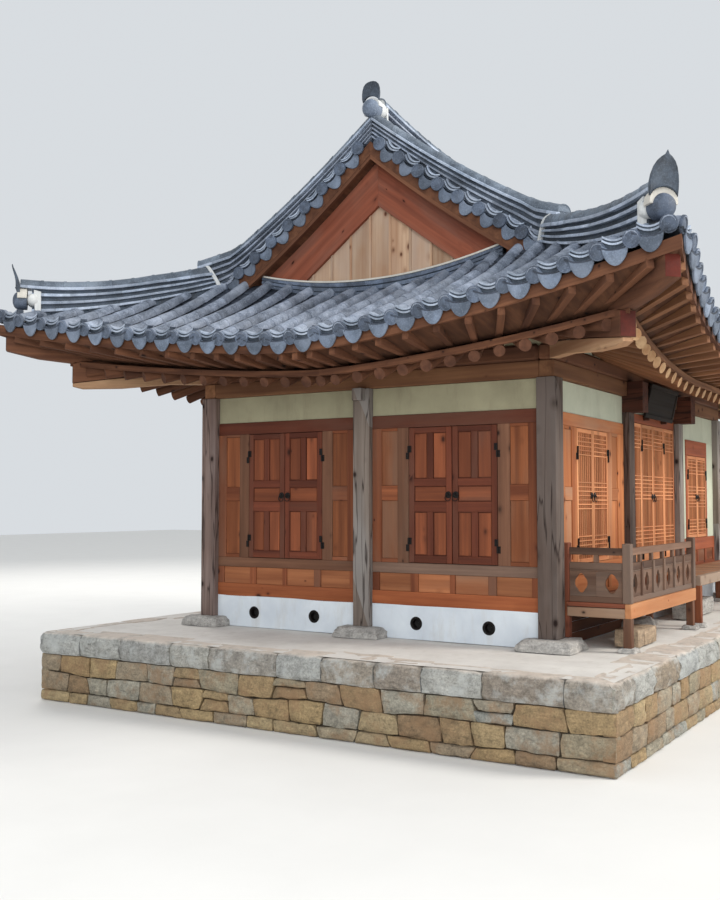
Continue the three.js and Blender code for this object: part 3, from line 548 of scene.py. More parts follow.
CLAY_DISC = clay("tile_disc", (60, 68, 81), (90, 101, 119), (132, 144, 162))
MORTAR = lime("mortar", (224, 224, 221), (192, 194, 193), (150, 150, 146))
CREAM = lime("mortar_cream", (214, 208, 196), (186, 181, 172), (150, 145, 136))
PLASTER = lime("plaster_base", (220, 226, 230), (200, 207, 214), (188, 184, 176))
# The band's plaster off the front is darker, painted shade from the eaves; the front's band keeps the lighter
# colour
BAND = lime("plaster_band", (160, 154, 125), (140, 134, 108), (122, 112, 90))
BAND_FRONT = lime("plaster_band_front", (190, 193, 172), (172, 176, 155), (155, 151, 131))
GROUND = lime("platform_earth", (226, 222, 215), (208, 203, 196), (188, 180, 168), 0.92)
# Paper behind the lattices: brown, its darkness painted shade from the unlit rooms behind
PAPER_SHADED = wood("door_paper", (132, 76, 50), (104, 56, 38), (112, 58, 38), rough=0.85)
JOINT = stone("joint_earth", [(62, 52, 40), (84, 72, 56)], 0.95, 0.6)
RUBBLE = stone("rubble", [(166, 147, 112), (151, 126, 90), (142, 136, 118), (162, 139, 101),
                          (132, 109, 83), (157, 149, 130), (146, 146, 138), (156, 134, 98)],
               vein=(142, 112, 82))
COPING = stone("coping", [(160, 162, 160), (142, 128, 110), (152, 154, 152), (168, 162, 148),
                          (164, 166, 164), (134, 120, 104)], vein=(186, 188, 184), dust_from=0.845)
STEP_STONE = stone("step_stone", [(158, 136, 112), (174, 152, 126)], bump=0.9)
GRANITE = stone("granite", [(164, 160, 154), (182, 178, 172)])
LACQUER = wood("black_lacquer", (46, 37, 30), (25, 20, 17), (16, 13, 12), rough=0.8)
IRON = iron("black_iron")
VENT_SHADE = stone("vent_shade", [(30, 28, 26), (38, 36, 33)], 0.95, 0.3)


def rough(point, size, seed):
    """A smooth pseudo-random push at a point."""
    return noise.noise(Vector((point[0] / size + seed, point[1] / size - seed, point[2] / size)))


def placed(turn, away):
    """From a wall's own frame (along, inward, up) to the house's frame."""
    c, s = math.cos(math.radians(turn)), math.sin(math.radians(turn))

    def place(points):
        x, y, z = points[:, 0], points[:, 1] - away, points[:, 2]
        return np.stack([x * c - y * s, x * s + y * c, z], 1)

    return place


def at(place, *point):
    return place(np.array([point], float))[0]


def heading(place, *step):
    return at(place, *step) - at(place, 0, 0, 0)


SIDES = {"front": (0, HALF_Y), "left": (-90, HALF_X), "back": (180, HALF_Y), "right": (90, HALF_X)}
PLATFORM_REACH = {"front": (PLATFORM_X, PLATFORM_Y), "back": (PLATFORM_X, PLATFORM_Y),
                  "left": (PLATFORM_Y, PLATFORM_X), "right": (PLATFORM_Y, PLATFORM_X)}


# Platform: squared rubble in wavering courses under a coping of large flat stones
STONE_ACROSS, STONE_UP = 8, 7
JOINT_GAP = 0.006
JOINT_DEPTH = 0.05
RUBBLE_LEVELS = (0.0, 0.13, 0.355, COPING_Z)
COURSE_WAVES = (0.0, 0.045, 0.045, 0.03)
RUBBLE_FACE = 0.03
COPING_FACE = 0.014
SPLIT_CHANCE = 0.14


def face_stone(pile, corners, place, bulge):
    """One pillowed stone in the wall's face, corners as (s, z) from lower left round."""
    (x0, z0), (x1, z1), (x2, z2), (x3, z3) = corners
    seed = rng.uniform(0, 90)
    soft = rng.uniform(0.05, 0.22)
    points = []
    for i in range(-1, STONE_UP + 2):
        for j in range(-1, STONE_ACROSS + 2):
            u, v = 2 * clamp01(j / STONE_ACROSS) - 1, 2 * clamp01(i / STONE_UP) - 1
            a = (u * math.sqrt(1 - soft * v * v / 2) + 1) / 2
            b = (v * math.sqrt(1 - soft * u * u / 2) + 1) / 2
            x = (1 - b) * ((1 - a) * x0 + a * x1) + b * ((1 - a) * x3 + a * x2)
            z = (1 - b) * ((1 - a) * z0 + a * z1) + b * ((1 - a) * z3 + a * z2)
            x += 0.011 * rough((x, 0, z), 0.10, seed + 7)
            z = max(z + 0.011 * rough((x, 0, z), 0.10, seed + 31), 0.001)
            depth = bulge * (1 - max(abs(u) ** 5, abs(v) ** 5))
            depth += 0.014 * rough((x, 0, z), 0.11, seed) + 0.005 * rough((x, 0, z), 0.04, seed)
            if i in (-1, STONE_UP + 1) or j in (-1, STONE_ACROSS + 1):
                depth = -0.12
            points.append([x, -depth, z])
    faces = tube_faces(STONE_UP + 3, STONE_ACROSS + 3, False)
    pile.add(place(np.array(points)), faces, None, rng.random(), 0, True)


def wavering(z, seed, amount):
    return lambda s: z + amount * rough((s, 0, 0), 0.8, seed)


def between(low, high, share):
    return lambda s: low(s) * (1 - share) + high(s) * share


def stone_widths(total, low, high):
    widths = []
    while sum(widths) < total:
        widths.append(rng.uniform(low, high))
    return [w * (total / sum(widths)) for w in widths]


def joint_sheet(pile, reach, place, low, high):
    """Dark earth seen in the joints between stones."""
    corners = [(-reach, low), (reach, low), (reach, high), (-reach, high)]
    points = place(np.array([[s, JOINT_DEPTH, z] for s, z in corners]))
    pile.add(points, [(0, 1, 2, 3)], None, None, 1)


rubble = Pile()
for side_name, (turn, _) in SIDES.items():
    half, away = PLATFORM_REACH[side_name]
    place = placed(turn, away - RUBBLE_FACE)
    reach = half - 0.02
    lines = [wavering(z, 3 + k + turn, COURSE_WAVES[k]) for k, z in enumerate(RUBBLE_LEVELS)]
    for course_number, (low, high) in enumerate(zip(lines, lines[1:])):
        cursor = -reach
        lean = 0.0
        for width in stone_widths(2 * reach, 0.30, 0.60):
            next_lean = rng.uniform(-0.03, 0.03)
            right_lean = 0.0 if cursor + width > reach - 0.01 else next_lean
            a, b = cursor + JOINT_GAP, cursor + width - JOINT_GAP
            levels = [(low, high)]
            if course_number > 0 and rng.random() < SPLIT_CHANCE and width < 0.44:
                middle = between(low, high, rng.uniform(0.4, 0.6))
                levels = [(low, middle), (middle, high)]
            for bottom, top in levels:
                corners = [(a - lean, bottom(a) + JOINT_GAP), (b - right_lean, bottom(b) + JOINT_GAP),
                           (b + right_lean, top(b) - JOINT_GAP), (a + lean, top(a) - JOINT_GAP)]
                face_stone(rubble, corners, place, rng.uniform(0.016, 0.03))
            cursor += width
            lean = right_lean
    joint_sheet(rubble, half - 0.06, place, 0, COPING_Z + 0.03)


COPING_FRONT = [(0.10, 0.0), (0.012, 0.003), (-0.002, 0.035), (-0.010, 0.07), (-0.013, 0.105), (-0.013, 0.14),
                (-0.010, 0.175), (-0.002, 0.21), (0.008, 0.24), (0.024, 0.264), (0.06, 0.271), (0.14, 0.272)]
COPING_FACE_ROWS = 10


def coping_stone(pile, a, b, depth, place, low, corner_reach):
    """A large flat stone: rock-faced front on a wavering bed, worn arris and top."""
    seed = rng.uniform(0, 90)
    drop = rng.uniform(0.0, 0.014)
    profile = COPING_FRONT + [(depth * 0.7, 0.271), (depth - 0.02, 0.27), (depth, 0.24)]
    steps = max(8, int((b - a) / 0.055))
    points = []
    for i, (y, z) in enumerate(profile):
        inner = 0 < i < len(profile) - 2
        for j in range(steps + 1):
            u = j / steps
            edge = abs(2 * u - 1) ** 8
            mitre = corner_reach - max(y, 0.0)
            x = min(max(a + (b - a) * u, -mitre), mitre)
            push = 0.030 * rough((x, y * 3, z * 2), 0.15, seed) + 0.016 * rough((x, y, z), 0.055, seed + 9)
            y_here, z_here = y, z + (low(x) - COPING_Z) * (1 - min(z / 0.24, 1.0))
            if inner and i < COPING_FACE_ROWS:
                y_here += push + 0.022 * edge
            if i >= len(profile) - 3:
                y_here += 0.05 * rough((x, 0, 0), 0.25, seed)
            if inner and i >= COPING_FACE_ROWS - 2:
                z_here += 0.25 * push - 0.010 * edge - drop
            points.append([x, y_here, COPING_Z + z_here])
    rows = len(profile)
    pile.add(place(np.array(points)), tube_faces(rows, steps + 1, False), None, rng.random(), 0, True)
    for end in (0, steps):
        ring = [points[k * (steps + 1) + end] for k in range(rows)]
        pile.add(place(np.array(ring)), [tuple(range(rows))], None, rng.random(), 0)


coping = Pile()
for side_name, (turn, _) in SIDES.items():
    half, away = PLATFORM_REACH[side_name]
    place = placed(turn, away - COPING_FACE)
    low = wavering(COPING_Z, 3 + 3 + turn, COURSE_WAVES[3])
    cursor = -half
    for width in stone_widths(2 * half, 0.5, 1.0):
        depth = rng.uniform(0.24, 0.5)
        coping_stone(coping, cursor + JOINT_GAP, cursor + width - JOINT_GAP, depth, place, low, half)
        cursor += width
    joint_sheet(coping, half - 0.05, place, COPING_Z + 0.03, P - 0.035)
rubble.make("platform_rubble", [RUBBLE, JOINT], slot="rubble", replaces=["platform_wall"])
coping.make("coping_stones", [COPING, JOINT], slot="coping", replaces=["platform_coping"])

# Top of the platform, gently uneven, and the dressed stones that carry the posts
ground = Pile()
TOP_X, TOP_Y = PLATFORM_X - 0.06, PLATFORM_Y - 0.06
rows = []
for i in range(41):
    y = -TOP_Y + 2 * TOP_Y * i / 40
    rows.append([[x, y, P - 0.007 + 0.005 * rough((x, y, 0), 0.9, 4)]
                 for x in [-TOP_X + 2 * TOP_X * j / 60 for j in range(61)]])
sheet(ground, rows)
timber(ground, (0.03 - TOP_X, 0.03 - TOP_Y, 0.002), (TOP_X - 0.03, TOP_Y - 0.03, P - 0.03), tint=0.5)
PAD_EDGE = 9


def pad_stone(pile, x, y, base, top, height):
    """A roughly dressed block, a little wider at the foot."""
    seed = rng.uniform(0, 90)
    turn = rng.uniform(-0.07, 0.07)
    c, s = math.cos(turn), math.sin(turn)
    levels = [(0.0, base), (0.3, base * 0.99), (0.6, base * 0.96), (0.82, (base + 2 * top) / 3),
              (0.95, top * 1.03), (1.0, top * 0.95), (1.0, 0.02)]
    points = []
    for level, width in levels:
        for k in range(4 * PAD_EDGE):
            edge, step = divmod(k, PAD_EDGE)
            u = 2 * step / PAD_EDGE - 1
            px, py = [(u, -1), (1, u), (-u, 1), (-1, -u)][edge]
            shrink = 1 - 0.06 * (abs(px) * abs(py)) ** 5
            px, py = px * shrink * width / 2, py * shrink * width / 2
            px, py = px * c - py * s, px * s + py * c
            here = (px, py, level * 0.2)
            push = 1 + 0.07 * rough(here, 0.13, seed) + 0.05 * rough(here, 0.05, seed)
            lift = 0.010 * rough((px, py, 0), 0.10, seed) * level
            points.append([x + px * push, y + py * push, P + level * (height - 0.004) + lift])
    pile.add(points, tube_faces(len(levels), 4 * PAD_EDGE), None, rng.random(), 1, True)


column_places = [(x, y) for x in COLUMN_X for y in (-HALF_Y, HALF_Y)] + [(-HALF_X, 0), (HALF_X, 0)]
for x, y in column_places:
    pad_stone(ground, x, y, rng.uniform(0.62, 0.67), rng.uniform(0.50, 0.55), 0.124)

# Decks, as x from the corner column and y out from the front columns
VX0, VX1, VY0, VY1, VH0, VH1, POST = 0.17, 2.88, 0.045, 0.84, 0.36, 0.52, 0.095
PX0, PX1, PY0, PY1, PH0, PH1, PORCH_POST = 3.05, 7.2, 0.12, 0.86, 0.53, 0.66, 0.09
VERANDA_POSTS = (VX0 + POST / 2, VX1 - 0.06 - POST / 2)
PORCH_POSTS = (3.095, 5.4, 7.0)
pads = [(x, VY1 - POST / 2) for x in VERANDA_POSTS]
pads += [(x, y) for x in PORCH_POSTS for y in (PY0 + PORCH_POST / 2, PY1 - PORCH_POST / 2)]
for x, y in pads:
    pad_stone(ground, x - HALF_X, -HALF_Y - y, 0.20, 0.165, 0.051)
ground.make("platform_top", [GROUND, GRANITE], slot="granite", replaces=["platform_fill"])


def rough_block(pile, lo, hi, worn=0.03, amount=0.012):
    """A dressed block with worn edges and an uneven skin."""
    lo, hi = np.array(lo, float), np.array(hi, float)
    half = (hi - lo) / 2
    seed = rng.uniform(0, 90)
    count = [max(4, int((b - a) / 0.07)) for a, b in zip(lo, hi)]
    for axis in range(3):
        a, b = [k for k in range(3) if k != axis]
        for side in (0, 1):
            points = []
            for i in range(count[a] + 1):
                for j in range(count[b] + 1):
                    direction = np.zeros(3)
                    direction[axis] = 2 * side - 1
                    direction[a] = 2 * i / count[a] - 1
                    direction[b] = 2 * j / count[b] - 1
                    local = direction * half
                    core = np.clip(local, worn - half, half - worn)
                    out = local - core
                    length = np.linalg.norm(out)
                    if length > 0:
                        direction = out / length
                        local = core + direction * worn
                    here = local + (lo + hi) / 2
                    points.append(here + direction * (amount * rough(here, 0.11, seed) - 0.004))
            pile.add(points, tube_faces(count[a] + 1, count[b] + 1, False), None, 0.4 + 0.2 * side, 0, True)


STEPS = {"veranda": ((0.53, 0.785, 0.52, 0.81, 0.213), (0.795, 1.26, 0.525, 0.805, 0.205)),
         "porch": ((3.70, 5.12, 0.29, 0.54, 0.24),)}
for name, blocks in STEPS.items():
    step = Pile()
    for x0, x1, y0, y1, tall in blocks:
        rough_block(step, (-HALF_X + x0, -HALF_Y - y1, P), (-HALF_X + x1, -HALF_Y - y0, P + tall))
    look = STEP_STONE if name == "veranda" else GRANITE
    step.make(f"step_{name}", [look], slot="granite", replaces=[f"stepping_stone_{name}"])


# Solids that keep their shape get worn edges and their own finish
def dress(name, look, edge=0.006):
    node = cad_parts[name]
    node.data.materials.clear()
    node.data.materials.append(look)
    weld = node.modifiers.new("weld", "WELD")
    weld.merge_threshold = 0.0002
    bevel = node.modifiers.new("edges", "BEVEL")
    bevel.width = edge
    bevel.segments = 2
    bevel.limit_method = "ANGLE"
    bevel.angle_limit = math.radians(40)
    bevel.harden_normals = False


COLUMN_LOOKS = {"column_front_1": COLUMN_DARK, "column_front_2": COLUMN_DARK, "column_back_1": COLUMN_PLUM}
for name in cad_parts:
    if name.startswith("column"):
        dress(name, COLUMN_LOOKS.get(name, COLUMN_GREY), 0.008)
for name in ("cross_beam_1", "cross_beam_2"):
    dress(name, BEAM_Y, 0.01)
dress("floor", FLOOR)

# Base wall as the part has it, with round vents lined and collared
dress("base_wall", PLASTER, 0.003)
vents = Pile()
VENT_R = 0.065
VENT_H = P + 0.19


def vent(x, y, nx, ny):
    centre, out = (x, y, VENT_H), (nx, ny, 0)
    lathe(vents, centre, out, [(VENT_R + 0.016, -0.004), (VENT_R + 0.014, 0.004), (VENT_R - 0.006, 0.004),
                               (VENT_R - 0.012, -0.002), (VENT_R - 0.012, -0.10)], 28, 0, 0.3)
    # A near-black disc closes the hole: painted shade of the dark space behind the vent
    lathe(vents, centre, out, [(VENT_R - 0.012, -0.07), (0.001, -0.071)], 28, 1, 0.3)


for s in (0.74, 1.68):
    for start in (-SIDE_BAY, 0.0):
        for side in (-1, 1):
            vent(side * (HALF_X + WALL_OUT), start + s, side, 0)
    for a, b in zip(COLUMN_X, COLUMN_X[1:]):
        vent(a + s + (b - a - SIDE_BAY) / 2, HALF_Y + WALL_OUT, 0, 1)
vents.make("vent_collars", [IRON, VENT_SHADE], slot="plaster")

# Walls: each bay is drawn from its left column centre, seen from outside
LOW_PANELS = ((0.213, 0.644), (0.744, 1.166))
SHUTTER_BAY = {
    "leaf": "shutter", "width": 2.4, "opening": (0.62, 1.78, 0.90, 2.515), "lintel": 2.67, "post": 0.246,
    "low": (0.56, 0.776), "low_panels": LOW_PANELS, "side": 0.468,
    "side_levels": (0.948, 1.641, 1.822, 2.481),
}
LATTICE_BAY = {
    "leaf": "lattice", "width": 2.6, "opening": (0.75, 1.85, 0.90, 2.50), "lintel": 2.65, "post": 0.36,
    "low": (0.56, 0.776), "low_panels": ((0.23, 0.65), (0.76, 1.24)), "side": 0.593,
    "side_levels": (0.96, 1.643, 1.796, 2.46),
}
DOOR_BAY = {
    "leaf": "lattice", "width": 2.4, "opening": (0.667, 1.733, 0.70, 2.70), "lintel": 2.82, "post": 0.14,
    "low": None, "side": None,
}
HIGH_BAY = {
    "leaf": "lattice", "width": 2.4, "opening": (0.64, 1.76, 1.06, 2.36), "lintel": 2.60, "post": 0.115,
    "low": (0.68, 0.87), "low_panels": LOW_PANELS, "side": 0.56, "side_levels": (1.06, 2.60),
}
OUT, IN = -WALL_OUT, WALL_IN
LEAF_DEPTH = 0.04
LEAF_GAP = 0.006
MEETING_GAP = 0.010
LOOKS = [WOOD, PANEL, BAND, WARM, DEEP, GREYED, IRON, LATTICE_WOOD, PAPER_SHADED, SHUTTER, SUNK, SILL_GREY,
         BAND_FRONT, FRIEZE, LOW_BEAM]
(L_WOOD, L_PANEL, L_BAND, L_WARM, L_DEEP, L_GREY, L_IRON, L_LATTICE, L_PAPER_SHADED, L_SHUTTER, L_SUNK, L_SILL,
 L_BAND_FRONT, L_FRIEZE, L_LOW) = range(len(LOOKS))

# Finish of a bay's frame, panels, sill, inner posts, plaster, lowest beam, frieze and lintel
WARM_BAY = (L_WARM, L_WARM, L_WARM, L_WARM, L_BAND_FRONT, L_WARM, L_WARM, L_WARM)
DEEP_BAY = (L_DEEP, L_PANEL, L_DEEP, L_DEEP, L_BAND_FRONT, L_DEEP, L_PANEL, L_DEEP)
# Off the front the lintel takes the darker shutter pine and the band the darker plaster: painted shade under
# the eaves
GREY_SILL_BAY, PALE_SILL_BAY, PLAIN_BAY = [(L_WOOD, L_PANEL, sill, L_GREY, L_BAND, L_LOW, L_FRIEZE, L_SHUTTER)
                                           for sill in (L_GREY, L_SILL, L_WOOD)]
WALLS = [
    ("front", False, [(LATTICE_BAY, COLUMN_X[0], WARM_BAY), (DOOR_BAY, COLUMN_X[1], DEEP_BAY),
                      (HIGH_BAY, COLUMN_X[2], DEEP_BAY)]),
    ("left", False, [(SHUTTER_BAY, -SIDE_BAY, GREY_SILL_BAY), (SHUTTER_BAY, 0.0, PALE_SILL_BAY)]),
    ("back", True, [(HIGH_BAY, -COLUMN_X[3], PLAIN_BAY), (DOOR_BAY, -COLUMN_X[2], PLAIN_BAY),
                    (LATTICE_BAY, -COLUMN_X[1], PLAIN_BAY)]),
    ("right", True, [(SHUTTER_BAY, -SIDE_BAY, PLAIN_BAY), (SHUTTER_BAY, 0.0, PLAIN_BAY)]),
]


def wavy_beam(pile, s0, s1, h0, h1, place, look, steps=24):
    """The lowest beam, whose under edge follows the bent log it was cut from."""
    seed = rng.uniform(0, 50)
    shift = grain_shift()
    points = []
    for i in range(steps + 1):
        s = s0 + (s1 - s0) * i / steps
        low = max(h0 + 0.022 * rough((s, 0, 0), 0.7, seed) - 0.006, h0 - 0.02)
        ring = ((OUT + 0.004, low), (OUT, low + 0.006), (OUT, h1 - 0.004),
                (OUT + 0.004, h1), (IN, h1), (IN, low))
        points += [[s, y, z] for y, z in ring]
    points = np.array(points)
    pile.add(place(points + [0, 0, P]), tube_faces(steps + 1, 6), points + shift, None, look, True)


def leaf_frames(bay, start, place):
    """A leaf's width, and the frames of the left leaf and of its mirror image, each from its hinge."""
    s0, s1 = bay["opening"][:2]
    left = lambda points: place(points + [start + s0 + LEAF_GAP, 0, 0])
    right = lambda points: place(points * [-1, 1, 1] + [start + s1 - LEAF_GAP, 0, 0])
    return (s1 - s0 - MEETING_GAP) / 2 - LEAF_GAP, (left, right)


def wall_bay(pile, bay, start, looks, place, fixed):
    frame_look, panel_look, sill_look, post_look, band_look, low_look, frieze_look, lintel_look = looks
    width, post, side, low = bay["width"], bay["post"], bay["side"], bay["low"]
    s0, s1, sill, head = bay["opening"]
    edge = HALF_COLUMN + 0.0005

    def member(a, b, c, d, along, look=frame_look, depth=0.0):
        timber(pile, (start + a, OUT + depth, P + c), (start + b, IN - depth, P + d), along, look,
               0.004, place)

    def both(a, b, *rest):
        member(a, b, *rest)
        member(width - b, width - a, *rest)

    wavy_beam(pile, start + edge, start + width - edge, BASE_TOP, low[0] if low else sill, place, low_look)
    if low:
        (a0, b0), (a1, b1) = bay["low_panels"]
        both(a0, b0, *low, "x", frieze_look, RECESS)
        both(a1, b1, *low, "x", frieze_look, RECESS)
        both(edge, a0, *low, "z")
        both(b0, a1, *low, "z")
        member(b1, width - b1, *low, "z")
        member(edge, width - edge, low[1], sill, "x", sill_look)
    if side is None:
        both(edge, post, sill, bay["lintel"] - 0.12, "z")
        for a, b in ((post, s0), (width - s0, width - post)):
            leaf_parts(pile, "lattice", start + a + 0.003, b - a - 0.006, sill, head, place, False)
    else:
        levels = bay["side_levels"]
        if post > edge:
            both(edge, post, sill, head, "z")
        both(side, s0, sill, head, "z", post_look)
        if len(levels) == 2:
            both(post, side, *levels, "z", band_look, RECESS)
        else:
            for c, d in ((sill, levels[0]), levels[1:3], (levels[3], head)):
                both(post, side, c, d, "x")
            for c, d in (levels[:2], levels[2:]):
                both(post, side, c, d, "z", panel_look, RECESS)
    lintel_from = side if bay is HIGH_BAY else edge
    member(lintel_from, width - lintel_from, head, bay["lintel"], "x", lintel_look)
    member(edge, width - edge, bay["lintel"], COLUMN_TOP, "x", band_look, RECESS)
    if fixed:
        leaf_width, frames = leaf_frames(bay, start, place)
        for leaf_place in frames:
            leaf_parts(pile, bay["leaf"], 0.0, leaf_width, sill, head, leaf_place, True)
        lap = 0.012 if side is None else -0.001
        middle = (s0 + s1) / 2
        stop_y = OUT + LEAF_DEPTH + 0.001
        for a, b in ((s0 - lap, s0 + 0.02), (middle - 0.018, middle + 0.018), (s1 - 0.02, s1 + lap)):
            timber(pile, (start + a, stop_y, P + sill + 0.01),
                   (start + b, stop_y + 0.012, P + head - 0.01), "z", frame_look, 0.002, place)
    for sign, axis in ((-1, start + (s0 + 0.003)), (1, start + (s1 - 0.003))):
        for level in hinge_levels(sill, head):
            strap(pile, axis, axis + sign * 0.036, axis + sign * 0.024, level - 0.0803, place)


# Ironwork: strap hinges turn on knuckles just outside the wall's face
HINGE_Y = OUT - 0.012
NAIL_R = 0.007


def hinge_levels(h0, h1):
    return h0 + 0.22, h1 - 0.30


def strap(pile, axis, end, nail_x, level, place):
    """Half of a strap hinge: plate, knuckle and two nail heads."""
    a, b = sorted((axis, end))
    timber(pile, (a, OUT - 0.006, P + level), (b, OUT - 0.0002, P + level + 0.08), "x", L_IRON, 0.002, place)
    rings = ((0.004, 0.0), (0.009, 0.003), (0.009, 0.077), (0.004, 0.08))
    points = [[axis + r * math.cos(t), HINGE_Y + r * math.sin(t), P + level + z]
              for r, z in rings for t in turns(14)]
    pile.add(place(np.array(points)), tube_faces(4, 14) + tube_ends(4, 14), None, 0.4, L_IRON, True)
    rings = ((1.0, 0.0), (0.8, 0.35), (0.35, 0.6), (0.02, 0.65))
    for h in (level + 0.02, level + 0.06):
        points = [[nail_x + NAIL_R * r * math.cos(t), OUT - 0.006 - out * NAIL_R,
                   P + h + NAIL_R * r * math.sin(t)] for r, out in rings for t in turns(10)]
        pile.add(place(np.array(points)), tube_faces(4, 10), None, 0.4, L_IRON, True)


# Door and shutter leaves, drawn from the hinge edge towards the meeting edge
def leaf_parts(pile, style, x0, width, h0, h1, place, hung):
    front, back = OUT, OUT + LEAF_DEPTH
    low, high = P + h0 + 0.006, P + h1 - 0.006
    tall = high - low
    own_look = L_SHUTTER if style == "shutter" else L_LATTICE
    stile = 0.125 * width if style == "shutter" else 0.042

    def part(a, b, c, d, along, look=own_look, f=front, r=back, edge=0.004):
        timber(pile, (x0 + a, f, low + c), (x0 + b, r, low + d), along, look, edge, place)

    def rail(c, d, *rest):
        part(stile, width - stile, c, d, *rest)

    part(0, stile, 0, tall, "z")
    part(width - stile, width, 0, tall, "z")
    if style == "shutter":
        groove = 0.011
        left, right = width / 2 - 0.07 * width, width / 2 + 0.07 * width

        def fielded(a, b, c, d, along):
            part(a, b, c, d, along, own_look, front + 0.019, back - 0.008, 0.001)
            part(a + groove, b - groove, c + groove, d - groove, along, L_SUNK,
                 front + 0.009, front + 0.0195, 0.006)

        for c, d in ((0, 0.055), (0.375, 0.45), (0.565, 0.62), (0.96, 1.0)):
            rail(c * tall, d * tall, "x")
        for c, d in ((0.055 * tall, 0.375 * tall), (0.62 * tall, 0.96 * tall)):
            part(left, right, c, d, "z")
            fielded(stile, left, c, d, "z")
            fielded(right, width - stile, c, d, "z")
        fielded(stile, width - stile, 0.45 * tall, 0.565 * tall, "x")
    else:
        bottom, top = 0.05, tall - 0.05
        rail(0, bottom, "x")
        rail(top, tall, "x")
        if tall > 1.8:
            rail(bottom, 0.26, "x", own_look, front + RECESS, back - 0.008, 0.001)
            rail(0.26, 0.30, "x")
            bottom = 0.30
        # Paper behind the bars, darkened with painted shade
        rail(bottom, top, "z", L_PAPER_SHADED, front + 0.022, front + 0.026, 0.0005)
        bars = 6
        for k in range(1, bars + 1):
            middle = stile + (width - 2 * stile) * k / (bars + 1)
            part(middle - 0.006, middle + 0.006, bottom, top, "z", own_look,
                 front + 0.006, front + 0.024, 0.0015)
        for share, count in ((0.105, 5), (0.5, 7), (0.895, 5)):
            for k in range(count):
                z = bottom + (top - bottom) * share + (k - (count - 1) / 2) * 0.052
                if bottom + 0.01 < z < top - 0.01:
                    rail(z - 0.007, z + 0.007, "x", own_look, front + 0.002, front + 0.024, 0.0015)
    if not hung:
        return
    ring_centre = at(place, x0 + width - 0.043, front - 0.006, (low + high) / 2)
    outward = heading(place, 0, -1, 0)
    rose = [(0.041, 0.0), (0.040, 0.004), (0.018, 0.008), (0.011, 0.017), (0.002, 0.019)]
    lathe(pile, ring_centre - outward * 0.006, outward, rose, 24, L_IRON, 0.4)
    torus(pile, ring_centre + outward * 0.011 + [0, 0, -0.036], outward, 0.036, 0.0048, L_IRON)
    for level in hinge_levels(h0, h1):
        strap(pile, x0 - 0.003, x0 + 0.036, x0 + 0.022, level, place)


for side_name, fixed, bays in WALLS:
    place = placed(*SIDES[side_name])
    wall = Pile()
    for bay, start, looks in bays:
        wall_bay(wall, bay, start, looks, place, fixed)
    wall.make(f"wall_timbers_{side_name}", LOOKS, slot="timber", replaces=[f"wall_{side_name}"], closed=True)
    if fixed:
        continue
    kind, slot = ("shutter", "shutter_timber") if side_name == "left" else ("lattice_door", "lattice_timber")
    number = 0
    for bay, start, _ in bays:
        leaf_width, frames = leaf_frames(bay, start, place)
        for leaf_place in frames:
            number += 1
            node = f"{kind}_{side_name}_{number}"
            leaf = Pile()
            leaf_parts(leaf, bay["leaf"], 0.0, leaf_width, *bay["opening"][2:], leaf_place, True)
            leaf.make(f"leaf_{node}", LOOKS, node, slot, [node], closed=True)

# Tie beams and purlins round the top of the walls, with plaster between the rafters
FRAME_LOOKS = [UNDER, UNDER_PALE, UNDER_BOARD, END_PALE, RED_END, BAND, END_SHADED, RED_DARK, BRACKET,
               BAND_FRONT]
(F_UNDER, F_PALE, F_BOARD, F_END, F_RED, F_BAND, F_END_SHADED, F_RED_DARK, F_BRACKET,
 F_BAND_FRONT) = range(len(FRAME_LOOKS))
ties = Pile()
purlins = Pile()
for side_name, (turn, away) in SIDES.items():
    place = placed(turn, away)
    for pile, half, low, high, look, edge in ((ties, 0.09, COLUMN_TOP, TIE_TOP, F_PALE, 0.008),
                                              (purlins, 0.10, TIE_TOP, PURLIN_TOP, F_UNDER, 0.03)):
        reach = HALF_X + half if side_name in ("front", "back") else HALF_Y - (half + 0.0005)
        timber(pile, (-reach, -half, P + low + 0.001), (reach, half, P + high), "x", look, edge, place)
ties.make("tie_beam_timbers", FRAME_LOOKS, slot="timber", replaces=["tie_beams"], closed=True)

# Eaves: round rafters fanned at the corners, a curved board, squared flying rafters
PARALLEL_FROM = 3.2
RAFTER_PITCH = 0.30
CURB = ((-0.035, 0.0), (0.05, 0.0), (0.05, 0.07), (-0.035, 0.07))
FASCIA = ((-0.035, -0.015), (0.03, -0.015), (0.03, 0.11), (-0.035, 0.11))
BOARD_STEPS = 44


def fan_root(q):
    """Where a rafter whose end is at q along the eaves starts, at the wall."""
    if q >= PARALLEL_FROM:
        return q
    return RAFTER_ROOT + (q - CORNER_REACH) * (PARALLEL_FROM - RAFTER_ROOT) / (PARALLEL_FROM - CORNER_REACH)


def flying_end(q):
    """Flying rafter's end in line with the rafter whose end is at q."""
    root, d0 = fan_root(q), rafter_reach(q)
    guess = q
    for _ in range(6):
        d1 = eaves_inset(guess) + 0.05
        guess = root + (q - root) * (RAFTER_ROOT - d1) / (RAFTER_ROOT - d0)
    return guess, eaves_inset(guess) + 0.05


